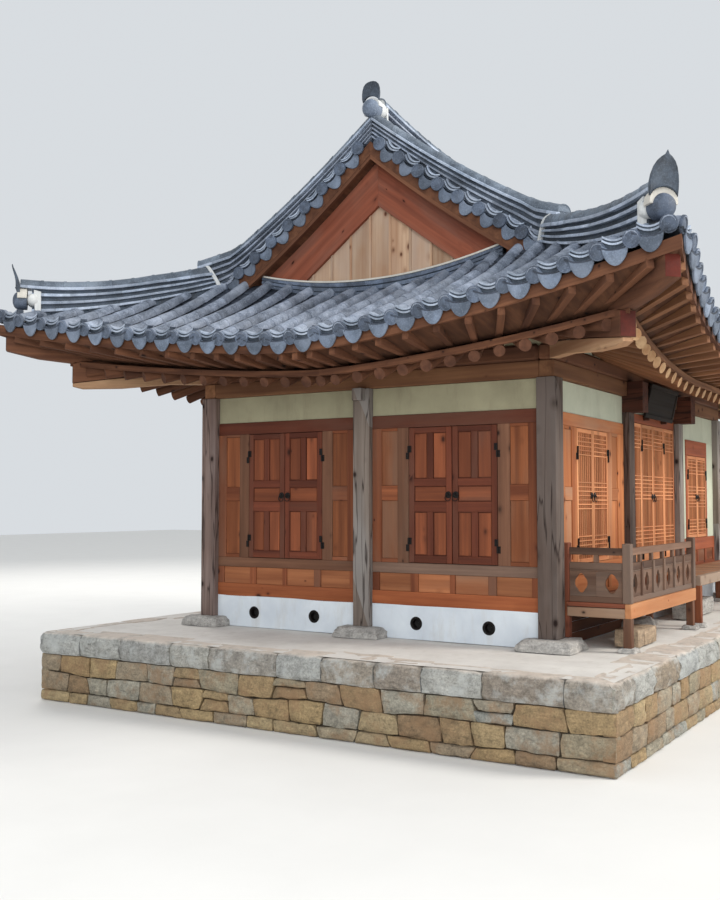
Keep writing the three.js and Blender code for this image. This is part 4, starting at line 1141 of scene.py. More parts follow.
def eaves_side(side_name, length, away, infill):
    """Rafters, boards and fascia of one side; local points are (along, in, up)."""
    place = placed(SIDES[side_name][0], away)
    rafters, boards = Pile(), Pile()
    front = side_name == "front"
    # The front takes pale rafters, ends and band as lit copies; the other sides take darker copies, painted
    # shade
    own_looks = (F_PALE, F_END, F_BAND_FRONT) if front else (F_UNDER, F_END_SHADED, F_BAND)
    rafter_look, end_look, band_look = own_looks

    def spot(sign, q, d, z):
        return at(place, sign * (length - q), d, z)

    ends = [CORNER_REACH + 0.21 + k * RAFTER_PITCH for k in range(40)]
    ends = [q for q in ends if q < length - 0.08]
    for sign in (-1, 1):
        for q in ends + ([length] if sign < 0 else []):
            root, d = fan_root(q), rafter_reach(q)
            tip = spot(sign, q, d, rafter_height(d, q))
            foot = spot(sign, root, RAFTER_ROOT, rafter_height(RAFTER_ROOT, root))
            size = RAFTER_R * rng.uniform(0.92, 1.08)
            rod(rafters, foot, tip, size * 1.05, size, rafter_look, end_look)
            fly_q, fly_d = flying_end(q)
            lift = rafter_height(d, q) + RAFTER_R
            behind_q, behind_d = q + (root - q) * 0.22, d + (RAFTER_ROOT - d) * 0.22
            rise = rafter_height(behind_d, behind_q) + RAFTER_R - lift
            start = spot(sign, behind_q, behind_d, lift + 0.085 + 0.3 * rise)
            end = spot(sign, fly_q, fly_d, underside(fly_d, fly_q) - 0.002 - 0.045)
            beam_between(rafters, start, end, 0.075, 0.09, rafter_look)
    for sign in (-1, 1):
        lower, upper, fascia, curb = [], [], [], []
        for k in range(BOARD_STEPS + 1):
            q = CORNER_REACH + (length - CORNER_REACH) * k / BOARD_STEPS
            root, d = fan_root(q), rafter_reach(q)
            fly_q, fly_d = flying_end(q)
            lift, rim = rafter_height(d, q) + RAFTER_R, underside(fly_d, fly_q)
            row = [(q + (root - q) * t, d + (RAFTER_ROOT - d) * t) for t in (-0.02, 0.15, 0.4, 0.7, 1.0)]
            lower.append([spot(sign, u, v, rafter_height(v, u) + RAFTER_R + 0.004) for u, v in row])
            upper.append([spot(sign, fly_q + (q - fly_q) * t, fly_d + (d - fly_d) * t,
                               rim + (lift + 0.125 - rim) * t)
                          for t in (-0.04, 0.0, 0.35, 0.7, 1.0, 1.15)])
            u, v = unit(np.array([root - q, RAFTER_ROOT - d]))
            curb.append([spot(sign, q + u * o, d + v * o, lift + h - 0.004) for o, h in CURB])
            fascia.append([spot(sign, fly_q + u * o, fly_d + v * o, rim + h) for o, h in FASCIA])
        sheet(boards, lower, F_BOARD)
        sheet(boards, upper, F_BOARD)
        for loop, look in ((curb, rafter_look), (fascia, F_UNDER)):
            points = [p for ring in loop for p in ring]
            along = [[0.25 * (i // 4) + 3 * look, 0.05 * (i % 4), 0.3 * sign] for i in range(len(points))]
            boards.add(points, tube_faces(len(loop), 4), along, 0.5 + 0.2 * sign, look)
    for sign in (-1, 1):
        band = []
        for k in range(30):
            q = EAVES_OUT + (length - EAVES_OUT) * k / 29
            band.append([spot(sign, q, EAVES_OUT - 0.05, P + PURLIN_TOP - 0.02),
                         spot(sign, q, EAVES_OUT - 0.05, rafter_height(EAVES_OUT, q) + RAFTER_R + 0.01)])
        sheet(infill, band, band_look)
        inward = heading(place, 0, 0.1, 0)
        sheet(infill, [[p + inward for p in row] for row in band], band_look)
    rafters.make(f"rafters_{side_name}", FRAME_LOOKS, slot="timber", closed=True)
    return boards


# Roof covering: tiles in rows, end discs, drip tiles
TILE_LOOKS = [CLAY, CLAY_DARK, CLAY_PALE, MORTAR, CLAY_TROUGH_SHADE, UNDER, CLAY_BAND, CLAY_CAP, CREAM, CLAY_DISC]
T_CLAY, T_DARK, T_PALE, T_MORTAR, T_TROUGH_SHADE, T_UNDER, T_BAND, T_CAP, T_CREAM, T_DISC = range(len(TILE_LOOKS))
EDGE_CLEAR = 0.048
TILE_R = 0.077
TILE_ARC = [math.radians(90 + 105 - 2 * 105 * k / 8) for k in range(9)]
TILE_PITCH = 0.30
TROUGH_PITCH = 0.16
ROW_RISE = 0.035
DISC_R = 0.084
FIRST_ROW = 0.15
DISH = 0.045


def upward(vector):
    return -vector if vector[2] < 0 else vector


def lengths(line, across, pitch):
    """Cuts a line of points into lengths: both ends, the way ahead and the way up from the line."""
    line = np.array(line)
    reach = lengths_along(line)

    def point(s):
        return np.array([np.interp(s, reach, line[:, k]) for k in range(3)])

    s = 0.0
    while s < reach[-1] - 0.03:
        end = min(s + pitch, reach[-1])
        a, b = point(s), point(end)
        ahead = unit(b - a)
        yield a, b, ahead, upward(np.cross(across, ahead))
        s = end


def tile_run(pile, line, across, pitch=TILE_PITCH):
    """Round-backed tiles laid end to end along a line of points."""
    for a, b, ahead, above in lengths(line, across, pitch):
        lap = a - ahead * 0.004
        rings = ((lap, TILE_R - 0.012), (lap, TILE_R), (b, TILE_R - 0.006))
        points = [centre + r * (math.cos(t) * across + math.sin(t) * above)
                  for centre, r in rings for t in TILE_ARC]
        pile.add(points, tube_faces(3, len(TILE_ARC), False), None, rng.random(), T_CLAY, True)


def trough_run(pile, line, across, half):
    """Concave tiles lapped along a line of points, in darker clay that paints the shade deep in the troughs.
    """
    for a, b, _, above in lengths(line, across, TROUGH_PITCH):
        rows = [[centre + across * u * half + above * (0.042 * u * u + lift) for u in (-1, -0.5, 0, 0.5, 1)]
                for centre, lift in ((a, -0.004), (a, 0.014), (b, 0.0))]
        sheet(pile, rows, T_TROUGH_SHADE, rng.random())


def disc(pile, centre, outward):
    """Round end tile with a raised rim."""
    rim = [(0.001, 0.004), (DISC_R * 0.35, 0.006), (DISC_R * 0.45, 0.002), (DISC_R * 0.78, 0.002),
           (DISC_R * 0.84, 0.009), (DISC_R * 0.97, 0.009), (DISC_R, 0.003), (DISC_R, -0.018),
           (DISC_R - 0.01, -0.02)]
    lathe(pile, centre, outward, rim, 20, T_DISC, rng.random())


def drip(pile, origin, across, outward, scale=1.0):
    """Curved end tile that hangs between two rows, with the layers stacked over it."""
    above = upward(np.cross(across, outward))
    half = 0.125 * scale

    def row(count, reach, rise, out):
        return [origin + across * u * half * reach + above * rise(u) + outward * out
                for u in [2 * k / count - 1 for k in range(count + 1)]]

    def hanging(share):
        def rise(u):
            top = DISH * u * u
            bottom = top - 0.135 * scale * max(1 - u * u, 0.0) ** 0.5 - 0.012
            return top + (bottom - top) * share
        return rise

    front = [row(16, 1.0, hanging(share), bulge)
             for share, bulge in ((0.0, 0.0), (0.5, 0.007), (0.93, 0.004), (1.0, 0.0))]
    back = [[p - outward * 0.016 for p in line] for line in reversed(front)]
    sheet(pile, front + back + [front[0]], T_PALE, rng.random())
    for layer in (1, 2):
        rise, face = 0.004 + 0.035 * layer, -0.012 * layer
        rows = [row(8, 0.98, lambda u, z=z: DISH * u * u + rise + z, y)
                for y, z in ((-0.14, 0.0), (face, 0.0), (face, 0.018), (-0.14, 0.018))]
        sheet(pile, rows, T_BAND, rng.random())
    # A dark sheet behind the tile: painted shade in the hollow under the trough's end
    sheet(pile, [row(8, 0.96, lambda u, z=z: DISH * u * u + z, -0.034) for z in (0.0, 0.09)], T_DARK, 0.5)


def roof_side(side_name, length, away, count, top, ridge_stop):
    """All the tiles of one slope; ridge_stop(q) is how far in its rows run."""
    place = placed(SIDES[side_name][0], away)
    tiles = Pile()
    across = heading(place, 1, 0, 0)
    spacing = 2 * (length - FIRST_ROW) / (count - 1)

    def line_up(a, lap, rise):
        """Points up the slope at a along the eaves, or none where the slope is too short."""
        q = length - abs(a)
        start, stop = max(eaves_inset(q) - lap, EDGE_CLEAR), ridge_stop(q)
        if stop <= start + 0.05:
            return None
        steps = max(3, int((stop - start) / 0.2))
        ds = [start + (stop - start) * k / steps for k in range(steps + 1)]
        return place(np.array([[a, d, top(d, q) + rise] for d in ds]))

    for k in range(count):
        a = -(length - FIRST_ROW) + spacing * k
        line = line_up(a, 0.05, ROW_RISE)
        if line is not None:
            tile_run(tiles, line, across)
            outward = unit(line[0] - line[1]) + [0, 0, 0.12]
            disc(tiles, line[0] + outward * 0.002, unit(outward))
        line = line_up(a + spacing / 2, 0.04, -0.012) if k < count - 1 else None
        if line is not None:
            trough_run(tiles, line, across, spacing / 2 - 0.004)
            drip(tiles, line[0] + [0, 0, 0.012], across, unit((line[0] - line[1]) * [1, 1, 0.25]))
    return tiles


def main_stop(q):
    """Rows under the main ridge end at it, rows beyond the verge end at the hip."""
    return ROOF_Y - 0.05 if q >= VERGE_Q else q - 0.03


def skirt_stop(q):
    return min(q - 0.03, SKIRT_RUN - 0.15)


def bed_sheet(pile, side_name, length, away, surface, spans, look, rise):
    """One dark sheet under the tiles, painted shade in the gaps between rows, or the ceiling inside."""
    place = placed(SIDES[side_name][0], away)
    for sign in (-1, 1):
        for q0, q1, start, stop in spans:
            rows = []
            for q in [q0 + (q1 - q0) * i / 24 for i in range(25)]:
                a, b = start(q), stop(q)
                ds = [a + (b - a) * k / 12 for k in range(13)]
                rows.append(place(np.array([[sign * (length - q), d, surface(d, q) + rise] for d in ds])))
            sheet(pile, rows, look, 0.4)


def bed_edge(q):
    return eaves_inset(q) + 0.01


def at_wall(q):
    return EAVES_OUT


MAIN_SLOPE = (ROOF_X, ROOF_Y, 35, slope_top, main_stop)
SKIRT = (ROOF_Y, ROOF_X, 27, skirt_top, skirt_stop)
for side_name in ("front", "back", "left", "right"):
    length, away, count, top, stop = MAIN_SLOPE if side_name in ("front", "back") else SKIRT
    boards = eaves_side(side_name, length, away, purlins)
    tiles = roof_side(side_name, length, away, count, top, stop)
    bend, crest = (VERGE_Q, ROOF_Y) if top is slope_top else (SKIRT_RUN, SKIRT_RUN)
    spans = [(0.03, bend, bed_edge, lambda q: max(q, bed_edge(q) + 0.001)),
             (bend, length, bed_edge, lambda q: crest)]
    inner = [(EAVES_OUT, SKIRT_RUN, at_wall, lambda q: q)] if top is skirt_top else []
    inner.append((SKIRT_RUN, length, at_wall, lambda q: crest))
    # Dark clay under the tiles: painted shade where the rows leave gaps
    bed_sheet(tiles, side_name, length, away, top, spans, T_DARK, -0.035)
    bed_sheet(boards, side_name, length, away, underside, inner, F_BOARD, 0.0)
    boards.make(f"eaves_boards_{side_name}", FRAME_LOOKS, slot="board")
    tiles.make(f"tiles_{side_name}", TILE_LOOKS, slot="roof_tile", replaces=[f"roof_{side_name}"])
purlins.make("purlin_timbers", FRAME_LOOKS, slot="timber", replaces=["purlins"])

# Corners: hip rafter, flying hip rafter with its red end, and a curved bracket, as (out, height)
CORNERS = {"front_left": (-1, -1), "front_right": (1, -1), "back_left": (-1, 1), "back_right": (1, 1)}
HIP_LOWER = [(-0.35, 3.41), (0.2, 3.39), (0.8, 3.285), (1.31, 3.18), (1.31, 3.43), (0.8, 3.52), (0.2, 3.66),
             (-0.35, 3.82)]
HIP_FLYING = [(0.75, 3.53), (1.31, 3.445), (1.62, 3.49), (1.90, 3.58), (1.90, 3.79), (1.60, 3.78),
              (1.31, 3.78), (0.75, 3.74)]
HIP_BRACKET = [(0.10, 3.205), (0.40, 3.20), (0.86, 3.13), (1.22, 3.11), (1.31, 3.14), (1.31, 3.175),
               (0.80, 3.28), (0.10, 3.385)]


def hip_frame(corner):
    """From (out, across, height) on a corner's diagonal to the house's frame."""
    cx, cy = CORNERS[corner]

    def place(points):
        out, across, h = points[:, 0], points[:, 1], points[:, 2]
        x = cx * (HALF_X + out) - cy * across * math.sqrt(0.5)
        y = cy * (HALF_Y + out) + cx * across * math.sqrt(0.5)
        return np.stack([x, y, P + h], 1)

    return place


def shaped_plate(pile, outline, width, place, look, cap_look=None, edge=0.008):
    """A plate cut to an outline, with eased edges and perhaps a painted end."""
    outline = np.array(outline, float)
    count = len(outline)
    middle = outline.mean(0)
    inward = middle - outline
    inward /= np.linalg.norm(inward, axis=1)[:, None] + 1e-9
    points = []
    half = width / 2
    for depth, shrink in ((-half, edge), (edge - half, 0), (half - edge, 0), (half, edge)):
        points += [[out, depth, h] for out, h in outline + inward * shrink]
    points, shift = np.array(points), grain_shift()
    pile.add(place(points), tube_faces(4, count) + tube_ends(4, count), points + shift, rng.random(), look)
    if cap_look is not None:
        ends = [p for p in outline if p[0] > outline[:, 0].max() - 0.02]
        cap = np.array([[out + 0.003, depth, h + (middle[1] - h) * 0.03]
                        for depth in (0.012 - half, half - 0.012) for out, h in (ends[0], ends[-1])])
        pile.add(place(cap), [(0, 1, 3, 2)], cap + shift, 0.6, cap_look)


for corner in CORNERS:
    place = hip_frame(corner)
    hips = Pile()
    shaped_plate(hips, HIP_LOWER, 0.18, place, F_UNDER, F_RED_DARK)
    shaped_plate(hips, HIP_FLYING, 0.17, place, F_UNDER, F_RED)
    shaped_plate(hips, HIP_BRACKET, 0.12, place, F_BRACKET)
    hips.make(f"hip_timbers_{corner}", FRAME_LOOKS, slot="dark_timber", replaces=[f"hip_rafter_{corner}"],
              closed=True)


# Ridges: thin courses, a pale band and a row of large round caps, mortared at the ends
RIDGE_CAP = 0.088
RIDGE_W = 0.21
BAND_LOW, BAND_TOP = RIDGE_CAP * 1.05 + 0.036, RIDGE_CAP * 1.05
STRIPS_FROM = 0.05
CAP_ARC = [math.radians(205 - 230 * k / 12) for k in range(13)]
CAP_PROFILE = ((0.0, -0.012), (0.0, 0.005), (0.13, 0.005), (0.14, 0.0), (0.5, 0.0), (0.82, -0.001),
               (1.0, -0.003))
PLUG_ARC = [math.radians(190 - 200 * k / 10) for k in range(11)]


def line_reader(base, tops):
    """A ridge's length, and readers of its point, height and cross direction at a distance along it."""
    base = np.array(base, float)
    reach = lengths_along(base[:, :2])

    def point(s):
        return np.array([np.interp(s, reach, base[:, k]) for k in range(3)]), np.interp(s, reach, tops)

    def across(s):
        ahead = point(min(s + 0.01, reach[-1]))[0] - point(max(s - 0.01, 0))[0]
        return unit(np.array([-ahead[1], ahead[0], 0.0]))

    return reach[-1], point, across


def course(pile, base, tops, low, high, half, look, pitch=0.0):
    """A strip along a ridge between two levels, in lengths of pitch."""
    total, point, across = line_reader(base, tops)
    pitch = pitch or total
    a = 0.0
    while a < total - 0.01:
        b = min(a + pitch, total)
        steps = max(1, int(round((b - a) / 0.14)))
        points = []
        for k in range(steps + 1):
            s = min(max(a + (b - a) * k / steps, a + 0.001), b - 0.001)
            p, tall = point(s)
            out = across(s) * half
            bottom, top = low(tall), high(tall)
            brow = top - min(0.010, (top - bottom) * 0.3)
            for side, z in ((-1, bottom), (1, bottom), (1, brow), (0.93, top), (-0.93, top), (-1, brow)):
                points.append(p + out * side + [0, 0, z])
        pile.add(points, tube_faces(steps + 1, 6) + tube_ends(steps + 1, 6), None, rng.random(), look)
        a = b


def courses(pile, base, tops, count, low_share, high_share, level, half, look, pitches):
    """Thin courses one over another; level gives the height of a share of the ridge."""
    for k in range(count):
        low = lambda tall, k=k: level(tall, (k + low_share) / count)
        high = lambda tall, k=k: level(tall, (k + high_share) / count)
        course(pile, base, tops, low, high, half(k), look, pitches(k))


def cap_row(pile, base, tops):
    """Large round tiles along the top, each with a raised band where it laps the last."""
    total, point, across = line_reader(base, tops)
    count = max(1, int(round(total / 0.30)))
    for k in range(count):
        a, b = total * k / count, total * (k + 1) / count
        points = []
        for t, swell in CAP_PROFILE:
            s = a + (b - a) * t
            p, tall = point(s)
            out, radius = across(s), RIDGE_CAP + swell
            points += [p + out * math.cos(turn) * radius + [0, 0, tall - RIDGE_CAP + math.sin(turn) * radius]
                       for turn in CAP_ARC]
        pile.add(points, tube_faces(len(CAP_PROFILE), len(CAP_ARC), False), None, rng.random(), T_CAP, True)


def plug(pile, base, tops, s, thick, grow, look=T_MORTAR):
    """Closes a ridge's end, following its round top; a negative s counts from the far end."""
    total, point, across_at = line_reader(base, tops)
    s = s % total
    p, tall = point(s)
    across = across_at(s)
    ahead = np.array([across[1], -across[0], 0.0]) * thick / 2
    shoulder = tall - RIDGE_CAP * 1.5
    outline = [(-RIDGE_W / 2, -0.02), (-RIDGE_W / 2, shoulder)]
    outline += [((RIDGE_CAP + grow) * math.cos(a), tall - RIDGE_CAP + (RIDGE_CAP + grow) * math.sin(a))
                for a in PLUG_ARC]
    outline += [(RIDGE_W / 2, shoulder), (RIDGE_W / 2, -0.02)]
    points = [p + across * a * (1.0 + 0.03 * rough((a, h, 0), 0.07, 3)) + [0, 0, h] + ahead * side
              for side in (-1, 1) for a, h in outline]
    pile.add(points, tube_faces(2, len(outline)) + tube_ends(2, len(outline)), None, 0.5, look)


def ridge(pile, base, tops, strips, short=0, look=T_CLAY):
    """base: points on the tiles; tops: the ridge's height over each; strips: how many thin courses."""
    low_base, low_tops = base[:len(base) - short], tops[:len(tops) - short]

    def level(tall, share):
        return STRIPS_FROM + (tall - BAND_LOW - STRIPS_FROM) * share

    # Dark core under the thin courses: painted shade in the gaps between them
    course(pile, low_base, low_tops, lambda tall: -0.05, lambda tall: tall - RIDGE_CAP * 0.9,
           RIDGE_W / 2 - 0.048, T_DARK)
    course(pile, base, tops, lambda tall: tall - BAND_LOW, lambda tall: tall - BAND_TOP,
           RIDGE_W / 2 + 0.004, T_BAND, 0.36)
    courses(pile, low_base, low_tops, strips, 0.10, 0.48, level,
            lambda k: RIDGE_W / 2 - 0.006 - 0.004 * (k % 2), look, lambda k: 0.27 + 0.03 * k)
    cap_row(pile, base, tops)


def lean_back(pile, first, base, tops, amount, reach):
    """Slants a ridge's start: its top begins further along than its foot."""
    start = np.array(base[0])
    ahead = unit((np.array(base[1]) - start) * [1, 1, 0])
    for i in range(first, len(pile.points)):
        p = np.array(pile.points[i])
        share = clamp01((p[2] - start[2]) / tops[0]) * clamp01(1 - (p - start) @ ahead / reach)
        pile.points[i] = (p + ahead * amount * share).tolist()


def end_leaf(pile, place, outline, centre_h, arch, out, lean, bow):
    """Upright end tile: half widths at heights, its foot cut to an arch, its face bowed and leaning out."""
    thick = 0.032
    foot, crown = outline[0][1], outline[-1][1]
    middle = (foot + crown) / 2
    first = math.asin(min((foot - centre_h) / arch, 1.0))
    ring = outline + [(-half, h) for half, h in reversed(outline) if half > 0.002]
    for k in range(1, 10):
        a = math.pi - first - (math.pi - 2 * first) * k / 10
        ring.append((arch * math.cos(a), centre_h + arch * math.sin(a)))
    points = []
    profile = ((0.0, 0.95), (0.004, 1.0), (thick - 0.004, 1.0), (thick, 0.95), (thick - 0.005, 0.86))
    for depth, shrink in profile:
        for across, h in ring:
            fine = 1 - 0.72 * clamp01((h - foot) / (crown - foot)) ** 2
            x = out + depth * fine + lean * max(h - foot, 0.0) ** 1.5 - bow * across * across
            points.append([x, across * shrink, middle + (h - middle) * shrink])
    pile.add(place(np.array(points)), tube_faces(5, len(ring)) + tube_ends(5, len(ring)), None, 0.45, T_DARK)


def crescent(pile, place, centre_h, inner, thick, out, depth, look=T_MORTAR):
    """Mortar laid over a round end tile, thickest at the crown."""
    points = []
    for k in range(17):
        a = math.radians(172 - 164 * k / 16)
        full = thick * (0.25 + 0.75 * math.sin(a) ** 0.8)
        rim = inner + full
        for along, radius in ((0, inner - 0.006), (0, rim), (depth, rim), (depth + 0.004, inner - 0.006)):
            radius += 0.004 * rough((k, along, radius), 3.0, 5)
            points.append([out + along, radius * math.cos(a), centre_h + radius * math.sin(a)])
    pile.add(place(np.array(points)), tube_faces(17, 4) + tube_ends(17, 4), None, 0.5, look, True)


def lump(pile, centre, axis, half, radius):
    """Rounded mass of mortar squeezed out at a ridge's end."""
    shape = [(max(radius * math.sin(a) ** 0.7, 0.001), -half * math.cos(a))
             for a in [math.pi * k / 12 for k in range(13)]]
    lathe(pile, centre, axis, shape, 20, T_MORTAR, 0.5)


def domed(radius, reach):
    """Turned profile of a round end tile with a bulging face."""
    face = ((1, 0.55), (0.97, 0.68), (0.86, 0.80), (0.66, 0.90), (0.38, 0.97))
    return [(0.001, 0.0), (radius, 0.001)] + [(radius * r, reach * a) for r, a in face] + [(0.001, reach)]


def end_frame(side):
    """From (out, across, height) at one end of the main ridge to the house's frame."""
    def place(points):
        return np.stack([side * (3.64 + points[:, 0]), points[:, 1], P + points[:, 2]], 1)

    return place


# Main ridge, swept up to its ends
RIDGE_END = 3.35
RIDGE_LEAF = [(0.116, 6.672), (0.127, 6.72), (0.129, 6.77), (0.124, 6.83), (0.108, 6.88), (0.076, 6.912),
              (0.038, 6.925), (0.0, 6.928)]
ridge_tiles = Pile()
line = [RIDGE_END * (2 * k / 30 - 1) for k in range(31)]
base = [[x, 0, slope_top(ROOF_Y, ROOF_X - abs(x)) - 0.02] for x in line]
tops = [0.47 + 0.19 * abs(x / 3.58) ** 2.5 for x in line]
ridge(ridge_tiles, base, tops, 5)
for s in (0.02, -0.02):
    plug(ridge_tiles, base, tops, s, 0.03, 0.004)
for side in (-1, 1):
    place = end_frame(side)
    lathe(ridge_tiles, at(place, -0.17, 0, 6.582), (side, 0, 0), domed(0.112, 0.20), 32, T_PALE, 0.9)
    lump(ridge_tiles, at(place, -0.22, 0, 6.59), (0, 1, 0), 0.122, 0.110)
    crescent(ridge_tiles, place, 6.582, 0.112, 0.026, -0.17, 0.10)
    end_leaf(ridge_tiles, place, RIDGE_LEAF, 6.60, 0.134, -0.075, 0.05, 0.8)
ridge_tiles.make("main_ridge_tiles", TILE_LOOKS, slot="roof_tile", replaces=["main_ridge"], closed=True)


def roof_level(x, y):
    d_front, d_side = ROOF_Y - abs(y), ROOF_X - abs(x)
    if d_front <= d_side or abs(x) <= VERGE_X:
        return slope_top(d_front, d_side)
    return skirt_top(d_side, d_front)


# Corner ridges: down the verge, then a lower one out along the hip to the corner
BEND_Y = RIDGE_LINE_X - (ROOF_X - ROOF_Y)
VERGE_FOOT = BEND_Y + 0.46
VERGE_TOPS = ((0.0, 1.2, BEND_Y, VERGE_FOOT), (0.40, 0.47, 0.53, 0.55))
TIP_X, TIP_Y = HALF_X + 1.785, HALF_Y + 1.785
HIP_SKIP = 0.24 / math.hypot(TIP_X - RIDGE_LINE_X, TIP_Y - BEND_Y)
DRUM_H = 4.245
DRUM_R = 0.116
HIP_END = [(1.60, 4.36), (1.60, 4.02), (1.64, 4.00), (1.655, 4.10), (1.665, 4.38)]
HIP_LEAF = [(0.134, 4.334), (0.141, 4.40), (0.141, 4.46), (0.133, 4.52), (0.114, 4.585), (0.086, 4.634),
            (0.050, 4.668), (0.018, 4.688), (0.008, 4.708), (0.0, 4.724)]
for corner, (cx, cy) in CORNERS.items():
    pile = Pile()
    base, tops = [], []
    for y in [0.004 + (VERGE_FOOT - 0.004) * k / 14 for k in range(15)]:
        x = RIDGE_LINE_X + 0.7 * max(y - BEND_Y, 0.0)
        base.append([cx * x, cy * y, roof_level(x, y) - 0.01])
        tops.append(np.interp(y, *VERGE_TOPS))
    ridge(pile, base, tops, 4)
    plug(pile, base, tops, -0.02, 0.03, 0.004, T_CAP)
    if cy > 0:
        lump(pile, np.array(base[0]) + [cx * 0.06, 0.07, tops[0] - 0.03], (0, 1, 0), 0.048, 0.034)
    base, tops = [], []
    for t in [HIP_SKIP + (1 - HIP_SKIP) * k / 18 for k in range(19)]:
        x, y = RIDGE_LINE_X + (TIP_X - RIDGE_LINE_X) * t, BEND_Y + (TIP_Y - BEND_Y) * t
        base.append([cx * x, cy * y, roof_level(x, y) - 0.01])
        tops.append(0.315 + 0.09 * min((t - HIP_SKIP) / 0.3, 1.0) ** 0.7 + 0.11 * t ** 3)
    first = len(pile.points)
    ridge(pile, base, tops, 3, 1, T_BAND)
    plug(pile, base, tops, 0.0, 0.055, 0.016)
    lean_back(pile, first, base, tops, 0.20, 1.2)
    place = hip_frame(corner)
    shaped_plate(pile, HIP_END, 0.215, place, T_MORTAR, None, 0.012)
    lump(pile, at(place, 1.67, 0, DRUM_H + 0.01), np.array([-cy, cx, 0.0]) / math.sqrt(2), 0.138, 0.092)
    outward = np.array([cx, cy, 0.0]) / math.sqrt(2)
    lathe(pile, at(place, 1.725, 0, DRUM_H), outward, domed(DRUM_R, 0.185), 36, T_DISC, 0.3)
    crescent(pile, place, DRUM_H, DRUM_R, 0.056, 1.725, 0.082, T_CREAM)
    end_leaf(pile, place, HIP_LEAF, DRUM_H, 0.165, 1.80, 0.24, 0.9)
    pile.make(f"corner_ridge_tiles_{corner}", TILE_LOOKS, slot="roof_tile",
              replaces=[f"corner_ridge_{corner}"], closed=True)

# Gable ends: verge tiles, boarded pediment, bargeboards and the ridge at its foot
GABLE_LOOKS = TILE_LOOKS + [PLANK, BARGE]
G_PLANK, G_BARGE = len(TILE_LOOKS), len(TILE_LOOKS) + 1
PLANKS, PLANK_SPAN = 13, 3.8
PLANK_FOOT = P + 4.12
PLANK_X = 3.3
VERGE_TILES, VERGE_PITCH = 9, 0.27
FOOT_X, FOOT_HALF = 3.435, 1.76


def slab(pile, lower, upper, offset, look):
    """A board between two lines of points, given thickness by an offset."""
    lower, upper, offset = np.array(lower, float), np.array(upper, float), np.array(offset, float)
    points, grain = [], []
    shift = grain_shift()
    for low, high, s in zip(lower, upper, lengths_along(lower)):
        points += [low, high, high + offset, low + offset]
        tall = np.linalg.norm(high - low)
        grain += [[s, 0, 0], [s, tall, 0], [s, tall, 0.05], [s, 0, 0.05]]
    rings = len(lower)
    pile.add(points, tube_faces(rings, 4) + tube_ends(rings, 4), np.array(grain) + shift, None, look)


def verge_half(gable, side, half):
    """Bargeboard, soffit, fillet and end tiles of one slope of a gable."""
    run = [0.001 + 1.95 * k / 16 for k in range(17)]
    lower = [[side * PEDIMENT_OUT, half * y, P + 5.38 - 0.75 * y] for y in run]
    upper = [[side * PEDIMENT_OUT, half * y, slope_top(ROOF_Y - y, ROOF_X - PEDIMENT_OUT) - 0.21]
             for y in run]
    slab(gable, lower, upper, [side * 0.05, 0, 0], G_BARGE)
    rows = []
    for d in [SKIRT_RUN - 0.3 + (ROOF_Y - SKIRT_RUN + 0.3) * k / 20 for k in range(21)]:
        row = [[side * x, half * (ROOF_Y - d), slope_top(d, ROOF_X - x) - 0.20]
               for x in (PEDIMENT_IN, 3.43, VERGE_X - 0.005)]
        rows.append(row + [[side * (VERGE_X - 0.005), half * (ROOF_Y - d), slope_top(d, VERGE_Q) - 0.03]])
    sheet(gable, rows, T_UNDER, 0.4, False)
    fillet = [[side * (VERGE_X - 0.01), half * (ROOF_Y - d), slope_top(d, VERGE_Q) - 0.255]
              for d in np.linspace(SKIRT_RUN - 0.2, ROOF_Y, 17)]
    slab(gable, fillet, np.array(fillet) + [0, 0, 0.06], [side * -0.05, 0, 0], T_UNDER)
    for k in range(VERGE_TILES):
        d = ROOF_Y - 0.16 - VERGE_PITCH * k
        y, z = half * (ROOF_Y - d), slope_top(d, VERGE_Q)
        slope = (slope_top(d + 0.1, VERGE_Q) - slope_top(d - 0.1, VERGE_Q)) / 0.2
        down = unit(np.array([0, half, -slope]))
        tile_run(gable, [[side * 3.635, y, z + 0.03], [side * 3.40, y, z + 0.045]], down, 0.24)
        disc(gable, (side * 3.64, y, z + 0.03), (side, 0, 0))
        drip(gable, np.array([side * 3.615, y + down[1] * 0.145, z + down[2] * 0.145 + 0.005]), down,
             np.array([side, 0, 0]), 0.92)


def boarding(gable, side):
    """Upright planks of a pediment, with a cover strip over each joint."""
    for k in range(PLANKS):
        y0 = -PLANK_SPAN / 2 + PLANK_SPAN * k / PLANKS
        y1 = y0 + PLANK_SPAN / PLANKS - 0.003
        top = slope_top(ROOF_Y - max(abs(y0), abs(y1)), ROOF_X - PLANK_X) - 0.22
        if top < PLANK_FOOT + 0.05:
            continue
        x0, x1 = sorted((side * (PEDIMENT_IN + 0.002), side * (PEDIMENT_OUT - rng.uniform(0.0, 0.004))))
        timber(gable, (x0, y0, PLANK_FOOT), (x1, y1, top), "z", G_PLANK, 0.003)
        x0, x1 = sorted((side * (PEDIMENT_OUT - 0.004), side * (PEDIMENT_OUT + 0.012)))
        if abs(y1) < 1.75:
            strip_top = min(top, slope_top(ROOF_Y - abs(y1) - 0.02, ROOF_X - PLANK_X) - 0.23)
            timber(gable, (x0, y1 - 0.015, PLANK_FOOT), (x1, y1 + 0.018, strip_top), "z", G_PLANK, 0.003)


